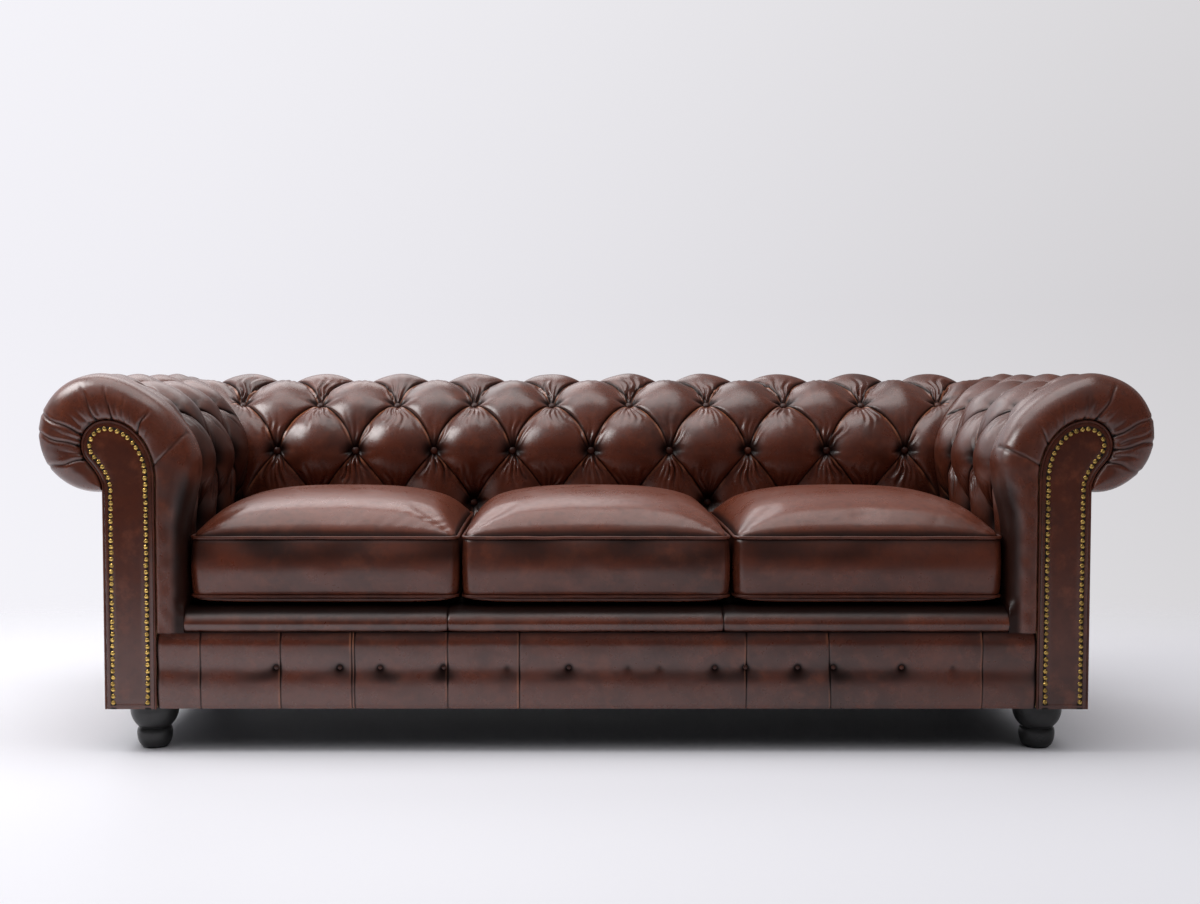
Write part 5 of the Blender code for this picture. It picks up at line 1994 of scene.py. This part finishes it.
@dataclass
class Cushion:
    """One loose box cushion, stuffed by a cloth simulation and piped along its edges."""

    name: str
    creases: Sequence[Crease]
    seed: int
    cells: int = 72
    band_rows: int = 20
    spread: tuple[float, float] = (1.2, -0.2)
    welt_low: float = 0.01
    side_height: float = 0.1184
    crown: float = 0.078
    crown_power: float = 2.8
    crown_round: float = 0.48
    corner: float = 0.025
    side_draw: float = 0.002
    side_bulge: float = 0.0012
    front_bulge: float = 0.0145
    front_sag: float = 0.004
    piping_radius: float = 0.0035
    piping_reach: float = 0.005
    notch: float = 0.004
    notch_width: float = 0.003
    top_ease: float = 0.03
    under_turn: float = 0.045
    under_roll: float = 0.0056
    # Strengths of painted shade beside the welts and of the painted sheen on the crown.
    band_hollow: float = 0.75
    wear_and_sheen: float = 0.75
    pressure: float = 4.0
    bending: float = 4.0
    looseness: float = 0.005
    frames: int = 16
    evenings: int = 12
    broad_room: float = 0.004
    side_room: float = 0.0025

    def __post_init__(self) -> None:
        """Read the cushion's place from the frame."""
        low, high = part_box(f"{self.name}_cover")
        self.centre = ((low.x + high.x) / 2, (low.y + high.y) / 2)
        self.half = ((high.x - low.x) / 2, (high.y - low.y) / 2)
        self.seams = (low.z + self.welt_low, low.z + self.welt_low + self.side_height)

    def plan(self, u: Array, v: Array, offset: Numbers) -> tuple[Array, Array]:
        """Places of a square's points in the cushion's plan.

        Args:
            u: First place, from -1 to 1.
            v: Second place, from -1 to 1.
            offset: How far the plan's outline is moved outwards.

        Returns:
            X and Y from the cushion's centre.
        """
        reach = np.maximum(np.maximum(np.abs(u), np.abs(v)), 1e-9)
        edge = np.stack([u / reach, v / reach])
        half = np.stack([self.half[0] + offset, self.half[1] + offset])
        place = edge * half
        core = np.clip(place, -(half - self.corner), half - self.corner)
        out = place - core
        size = np.maximum(np.linalg.norm(out, axis=0), 1e-9)
        place = place - out * (1 - np.minimum(self.corner / size, 1.0)) * reach**8
        drawn = self.side_draw * np.cos(math.pi / 2 * edge[::-1]) * np.abs(edge) ** 6
        place = (place - np.sign(edge) * drawn) * reach
        return place[0], place[1]

    def shape(self, cube: Array) -> tuple[Array, Array, Array]:
        """Shape the cushion from a cube.

        Args:
            cube: Points of the cube, from -1 to 1.

        Returns:
            Their places on the cushion, their painted shade and their painted crown sheen.
        """
        u, v, w = cube.T
        u, v = (self.spread[0] * c + self.spread[1] * c**5 for c in (u, v))
        top, under = w > ON_FACE, w < -ON_FACE
        low, high = self.seams
        band = (w + 1) / 2
        z = lerp(low, high, band)
        beside = np.minimum(band, 1 - band) * (high - low)
        offset = -self.notch * bell(beside, self.notch_width)
        reach = np.maximum(np.abs(u), np.abs(v))
        front = (np.abs(v) / np.maximum(reach, 1e-9)) ** 10 * (1 - np.abs(u) ** 6)
        offset = offset + lerp(self.side_bulge, self.front_bulge, front) * np.sin(math.pi * band)
        inset = 1 - reach
        offset = np.where(top, -self.notch * fade(inset, self.top_ease), offset)
        turn = np.minimum(inset / self.under_turn, 1)
        corner = np.minimum(np.abs(u), np.abs(v)) / np.maximum(reach, 1e-9)
        drop = self.welt_low * np.sin(math.pi / 2 * turn) * (1 - 0.6 * corner**8)
        drop = drop + self.front_sag * front * (v < 0) * np.exp(-inset / 0.12) * np.minimum(turn * 2, 1)
        rolled = self.under_roll * np.sin(math.pi * turn**0.85) - self.notch * (1 - turn) ** 3
        offset = np.where(under, rolled, offset)
        x, y = self.plan(u, v, offset)
        full = np.maximum((1 - np.abs(u) ** self.crown_power) * (1 - np.abs(v) ** self.crown_power), 0)
        rise = self.crown * full**self.crown_round
        fold = self.fold_depths(x, y)
        z = np.where(top, high + rise - fold * smoothstep(rise / 0.012), z)
        z = np.where(under, low - drop, z)
        patches = np.clip(0.5 + 0.9 * ripple((x + self.centre[0]) / 0.22, z / 0.12, self.seed), 0, 1)
        upper = smoothstep((band - 0.35) / 0.4)
        # Painted shade beside the welts; also darker in patches towards the top of the band.
        hollow = self.band_hollow * bell(beside, 0.004) + (0.16 + 0.42 * patches) * upper
        # Painted shade along the top's and the underside's edges, beside the welts.
        hollow = np.where(top | under, self.band_hollow * np.exp(-inset / 0.012), hollow)
        places = np.column_stack([x + self.centre[0], y + self.centre[1], z])
        # Painted sheen: the crown is lighter towards its top, where the light from above falls.
        crown_sheen = top * smoothstep(rise / self.crown / 0.7) * self.wear_and_sheen
        # Painted shade also fills the small folds on the top.
        return places, np.clip(hollow + fold * 60 * top, 0, 1), crown_sheen

    def fold_depths(self, x: Array, y: Array) -> Array:
        """Depth of the small folds near the front welt.

        Args:
            x: Places from the cushion's centre.
            y: Places from the cushion's centre, forwards below 0.

        Returns:
            Depths in metres.
        """
        total = np.zeros(x.shape)
        front = -self.half[1]
        for crease in self.creases:
            back = y - front - crease.start
            away = x - crease.x * self.half[0] - crease.lean * back
            groove = bell(away, crease.width) - 0.5 * bell(away - 2 * crease.width, 1.4 * crease.width)
            window = smoothstep(back / 0.012) * fade(back - crease.length / 3, crease.length)
            total += crease.depth * groove * window
        return total

    def cover(self) -> None:
        """Build the cover and stuff it."""
        bm = bmesh.new()
        bmesh.ops.create_cube(bm, size=2)
        for axis, cuts in ((2, self.band_rows - 1), (0, self.cells - 1), (1, self.cells - 1)):
            runs = [e for e in bm.edges if e.verts[0].co[axis] * e.verts[1].co[axis] < 0]
            bmesh.ops.subdivide_edges(bm, edges=runs, cuts=cuts, use_grid_fill=True)
        cube = np.array([vert.co for vert in bm.verts])
        places, hollow, crown_sheen = self.shape(cube)
        layers = [bm.verts.layers.float.new(name) for name in ("hollow", "crown_sheen")]
        for vert, place, *numbers in zip(bm.verts, places.tolist(), hollow.tolist(), crown_sheen.tolist()):
            vert.co = place
            for layer, number in zip(layers, numbers):
                vert[layer] = number
        bmesh.ops.recalc_face_normals(bm, faces=bm.faces)
        nodes = [f"{self.name}_cover", f"{self.name}_foam"]
        piece = Piece(f"{self.name}_leather", bm, CUSHION_LEATHER, self.name, nodes, 0.75, 70.0)
        made = piece.place()
        self.stuff(made, cube)

    def stuff(self, made: bpy.types.Object, cube: Array) -> None:
        """Inflate the cover with a cloth simulation, held along its seams.

        Args:
            made: The cover.
            cube: Where each of its points lies on the cube that it came from.
        """
        data = made.data
        start = np.empty(len(data.vertices) * 3)
        data.vertices.foreach_get("co", start)
        start = start.reshape(-1, 3)
        reach = np.abs(cube)
        seam = (reach[:, 2] > ON_FACE) & (np.maximum(reach[:, 0], reach[:, 1]) > ON_FACE)
        held = seam | (cube[:, 2] < -ON_FACE)
        group = made.vertex_groups.new(name="seams")
        group.add(np.flatnonzero(held).tolist(), 1.0, "REPLACE")
        cloth = made.modifiers.new("stuffing", "CLOTH")
        settings = cloth.settings
        settings.quality = 5
        settings.mass = 0.3
        settings.tension_stiffness = settings.compression_stiffness = 15
        settings.shear_stiffness = 6
        settings.bending_stiffness = self.bending
        settings.vertex_group_mass = group.name
        settings.use_pressure = True
        settings.uniform_pressure_force = self.pressure
        settings.effector_weights.gravity = 0
        settings.shrink_min = -self.looseness
        scene = bpy.context.scene
        for frame in range(1, self.frames + 1):
            scene.frame_set(frame)
        graph = bpy.context.evaluated_depsgraph_get()
        moved = np.empty(len(start) * 3)
        made.evaluated_get(graph).data.vertices.foreach_get("co", moved)
        made.modifiers.remove(cloth)
        made.vertex_groups.remove(group)
        scene.frame_set(1)
        step = self.evened(data, moved.reshape(-1, 3) - start, held)
        size = np.maximum(np.linalg.norm(step, axis=1), 1e-9)
        front = (reach[:, 2] < ON_FACE) & (cube[:, 1] < -ON_FACE)
        room = np.where((cube[:, 2] > ON_FACE) | front, self.broad_room, self.side_room)
        step *= np.minimum(room / size, 1.0)[:, None]
        data.vertices.foreach_set("co", (start + step).ravel())
        data.update()

    def evened(self, data: bpy.types.Mesh, step: Array, held: Array) -> Array:
        """Average each point's movement with its neighbours', so that only broad wrinkles stay.

        Args:
            data: The cover's mesh.
            step: How far the stuffing moved each point.
            held: Whether each point is held by a seam.

        Returns:
            The evened movements.
        """
        ends = np.empty(len(data.edges) * 2, dtype=np.int32)
        data.edges.foreach_get("vertices", ends)
        ends = ends.reshape(-1, 2)
        degree = np.bincount(ends.ravel(), minlength=len(step))[:, None]
        for _ in range(self.evenings):
            total = np.zeros(step.shape)
            np.add.at(total, ends[:, 0], step[ends[:, 1]])
            np.add.at(total, ends[:, 1], step[ends[:, 0]])
            step = np.where(held[:, None], step, (step + total / degree) / 2)
        return step

    def build(self) -> None:
        """Build the cover and its pipings."""
        self.cover()
        ring = np.linspace(-1, 1, 60, endpoint=False)
        one = np.ones(len(ring))
        u = np.concatenate([ring, one, -ring, -one])
        v = np.concatenate([-one, ring, one, -ring])
        seat = (self.piping_radius + SIZES.gap) * math.sqrt(2) - self.piping_reach
        x, y = self.plan(u, v, np.full(u.shape, seat))
        for edge, z in zip(("bottom", "top"), self.seams):
            seed = self.seed + len(edge)
            wavy = 0.0009 * ripple(np.arange(len(x)) / 12, 0.0, seed)
            points = np.column_stack([x + self.centre[0], y + self.centre[1], z + wavy])
            name = f"{self.name}_{edge}_piping"
            bm = round_tube(points, self.piping_radius, (0, 0, 1), True, seed)
            Piece(name, bm, WELT_LEATHER, self.name, [name]).place()


CUSHIONS = (
    Cushion(
        "left_cushion",
        (
            Crease(0.1, 0.6, 0.03, 0.0014),
            Crease(0.19, 0.7, 0.035, 0.002),
            Crease(0.4, 0.9, 0.06, 0.0026),
            Crease(0.52, 0.9, 0.05, 0.002),
            Crease(0.66, 0.8, 0.07, 0.0028),
            Crease(0.78, 0.7, 0.05, 0.0024),
            Crease(0.87, 0.5, 0.04, 0.0018),
            Crease(-0.82, -0.5, 0.04, 0.0014),
        ),
        101,
    ),
    Cushion(
        "middle_cushion",
        (
            Crease(-0.86, -0.6, 0.05, 0.0022),
            Crease(-0.74, -0.8, 0.06, 0.002),
            Crease(-0.5, -0.6, 0.04, 0.0014),
            Crease(0.3, 0.5, 0.04, 0.0012),
            Crease(0.62, 0.8, 0.05, 0.0018),
            Crease(0.8, 0.7, 0.05, 0.0022),
        ),
        202,
    ),
    Cushion(
        "right_cushion",
        (
            Crease(-0.88, -0.5, 0.05, 0.0022),
            Crease(-0.7, -0.8, 0.06, 0.0018),
            Crease(0.5, 0.6, 0.04, 0.0012),
            Crease(0.84, 0.6, 0.05, 0.0018),
        ),
        303,
    ),
)


# Studio


@dataclass(frozen=True)
class Lamp:
    """A softbox, from its place towards its aim."""

    name: str
    place: tuple[float, float, float]
    aim: tuple[float, float, float]
    size: tuple[float, float]
    watts: float

    def build(self) -> None:
        """Hang the softbox."""
        data = bpy.data.lights.new(self.name, "AREA")
        data.shape = "RECTANGLE"
        data.size, data.size_y = self.size
        data.energy = self.watts
        made = add_object(self.name, data)
        made.location = self.place
        way = Vector(self.aim) - Vector(self.place)
        made.rotation_euler = way.to_track_quat("-Z", "Y").to_euler()


@dataclass
class Studio:
    """Pale floor and surround, soft lamps, and a camera at the photograph's place."""

    camera_place: tuple[float, float, float] = (-0.071, -3.615, 0.7625)
    pitch_down: float = 2.87
    lens: float = 47.94
    shift_x: float = 0.0325
    near_left: Colour = (0.905, 0.896, 0.951)
    near_right: Colour = (0.508, 0.493, 0.495)
    zenith: Colour = (1.2, 1.2, 1.2)
    horizon: float = 0.04
    room: Colour = (0.03, 0.03, 0.032)
    sky_left: Colour = (0.72, 0.72, 0.75)
    sky_right: Colour = (0.05, 0.05, 0.05)
    fill_left: Colour = (0.75, 0.75, 0.77)
    fill_right: Colour = (1.85, 1.83, 1.85)
    behind_left: Colour = (0.4, 0.4, 0.42)
    behind_right: Colour = (0.1, 0.1, 0.1)
    right_dimming: float = 0.88
    floor_colour: Colour = (0.83, 0.825, 0.865)
    floor_grain: Colour = (0.81, 0.805, 0.845)
    floor_reflected: Colour = (0.1, 0.1, 0.1)
    floor_back: tuple[float, float] = (0.5, 1.9)
    floor_reach: tuple[float, float] = (3.5, 8.0)
    floor_front: tuple[float, float] = (-2.8, -1.5)
    floor_right: tuple[float, float] = (-0.9, 1.1)
    lamps: Sequence[Lamp] = (
        Lamp("overhead softbox", (-0.4, 0.1, 4.6), (-0.4, 0.1, 0), (4.4, 3.2), 75),
        Lamp("left softbox", (-2.3, -0.5, 2.3), (-0.4, 0.3, 1.1), (1.3, 1.2), 36),
        Lamp("rear softbox", (-1.2, 2.7, 3.1), (-0.5, -0.3, 0.5), (3.0, 1.5), 22),
    )

    def build(self) -> None:
        """Build the camera, lamps, surround and floor."""
        self.camera()
        for lamp in self.lamps:
            lamp.build()
        self.surround()
        self.floor()

    def camera(self) -> None:
        """The camera, level but for its small pitch."""
        data = bpy.data.cameras.new("camera")
        data.sensor_width = 36
        data.lens = self.lens
        data.shift_x = self.shift_x
        made = add_object("camera", data)
        made.location = self.camera_place
        made.rotation_euler = (math.radians(90 - self.pitch_down), 0, 0)
        bpy.context.scene.camera = made

    def surround(self) -> None:
        """A pale surround for the camera, and a dimmer room that lights the sofa."""
        world = bpy.data.worlds.new("studio")
        world.use_nodes = True
        bpy.context.scene.world = world
        tree = Tree(world.node_tree)
        place = tree.node("TexCoord").outputs["Generated"]
        across, back, up = tree.split(place)
        rays = tree.node("LightPath").outputs
        backdrop = tree.mix(across.between(-0.55, 0.95), self.near_left, self.near_right)
        tilt = tree.maths("ABSOLUTE", up - self.horizon)
        backdrop = tree.mix(tilt * 0.5, backdrop, self.zenith)
        behind = back.between(0.1, 0.5)
        rightwards = across.between(-0.6, 0.4)
        gloss = Value(tree, rays["Is Glossy Ray"])
        fill = tree.mix(rightwards, self.fill_left, self.fill_right)
        sky = tree.mix(gloss, fill, tree.mix(rightwards, self.sky_left, self.sky_right))
        room = tree.mix(up.between(0.45, 0.95), self.room, sky)
        wall = tree.mix(rightwards, self.behind_left, self.behind_right)
        room = tree.mix(behind, room, wall)
        camera = Value(tree, rays["Is Camera Ray"])
        polished = gloss + Value(tree, rays["Is Transmission Ray"])
        polished = polished * behind * (1 - across.between(-0.25, 0.3) * self.right_dimming)
        seen = tree.maths("MAXIMUM", camera, polished)
        colour = tree.mix(seen, room, backdrop)
        shader = tree.node("Background", None, {"Color": colour, "Strength": 1.0})
        tree.node("OutputWorld", None, {"Surface": shader.outputs[0]})

    def floor(self) -> None:
        """A wide floor that fades into the surround before the camera sees its end."""
        bm = bmesh.new()
        bmesh.ops.create_grid(bm, x_segments=8, y_segments=8, size=14)
        data = bpy.data.meshes.new("floor")
        bm.to_mesh(data)
        bm.free()
        made = add_object("floor", data)
        material = bpy.data.materials.new("studio floor")
        material.use_nodes = True
        tree = Tree(material.node_tree)
        place = tree.node("TexCoord").outputs["Object"]
        across, back, _ = tree.split(place)
        rays = tree.node("LightPath").outputs
        away = tree.node("VectorMath", {"operation": "LENGTH"}, {0: place}).outputs["Value"]
        outside = Value(tree, away).between(*self.floor_reach)
        gone = tree.maths("MAXIMUM", back.between(*self.floor_back), outside)
        gone = gone * Value(tree, rays["Is Camera Ray"])
        near = 1 - back.between(*self.floor_front)
        dim = tree.maths("MAXIMUM", near, across.between(*self.floor_right) * 0.5)
        dim = dim * Value(tree, rays["Is Glossy Ray"])
        grain = tree.noise(place, 3.0, 2)
        colour = tree.mix(grain * 0.2, self.floor_colour, self.floor_grain)
        colour = tree.mix(dim, colour, self.floor_reflected)
        sockets = {"Base Color": colour, "Roughness": 0.55, "Specular IOR Level": 0.2}
        solid = tree.node("BsdfPrincipled", None, sockets)
        clear = tree.node("BsdfTransparent")
        mixed = tree.node("MixShader", None, {0: gone, 1: solid.outputs[0], 2: clear.outputs[0]})
        tree.node("OutputMaterial", None, {"Surface": mixed.outputs[0]})
        data.materials.append(material)


def main() -> None:
    """Build the sofa's looks and the studio round it."""
    logging.basicConfig(level=logging.INFO, format="%(name)s: %(message)s")
    bpy.context.scene.view_settings.view_transform = "Standard"
    Studio().build()
    inside_back().build()
    for side, pleats in ((Side.LEFT, LEFT_PLEATS), (Side.RIGHT, RIGHT_PLEATS)):
        inside_arm(side).build()
        ArmFront(side, pleats).build()
        for end in ("front", "rear"):
            Foot(f"{side.word}_{end}_foot").build()
    FrontRail().build()
    OutsidePanels().build()
    for cushion in CUSHIONS:
        cushion.build()
    Underside().build()


if __name__ == "__main__":
    main()
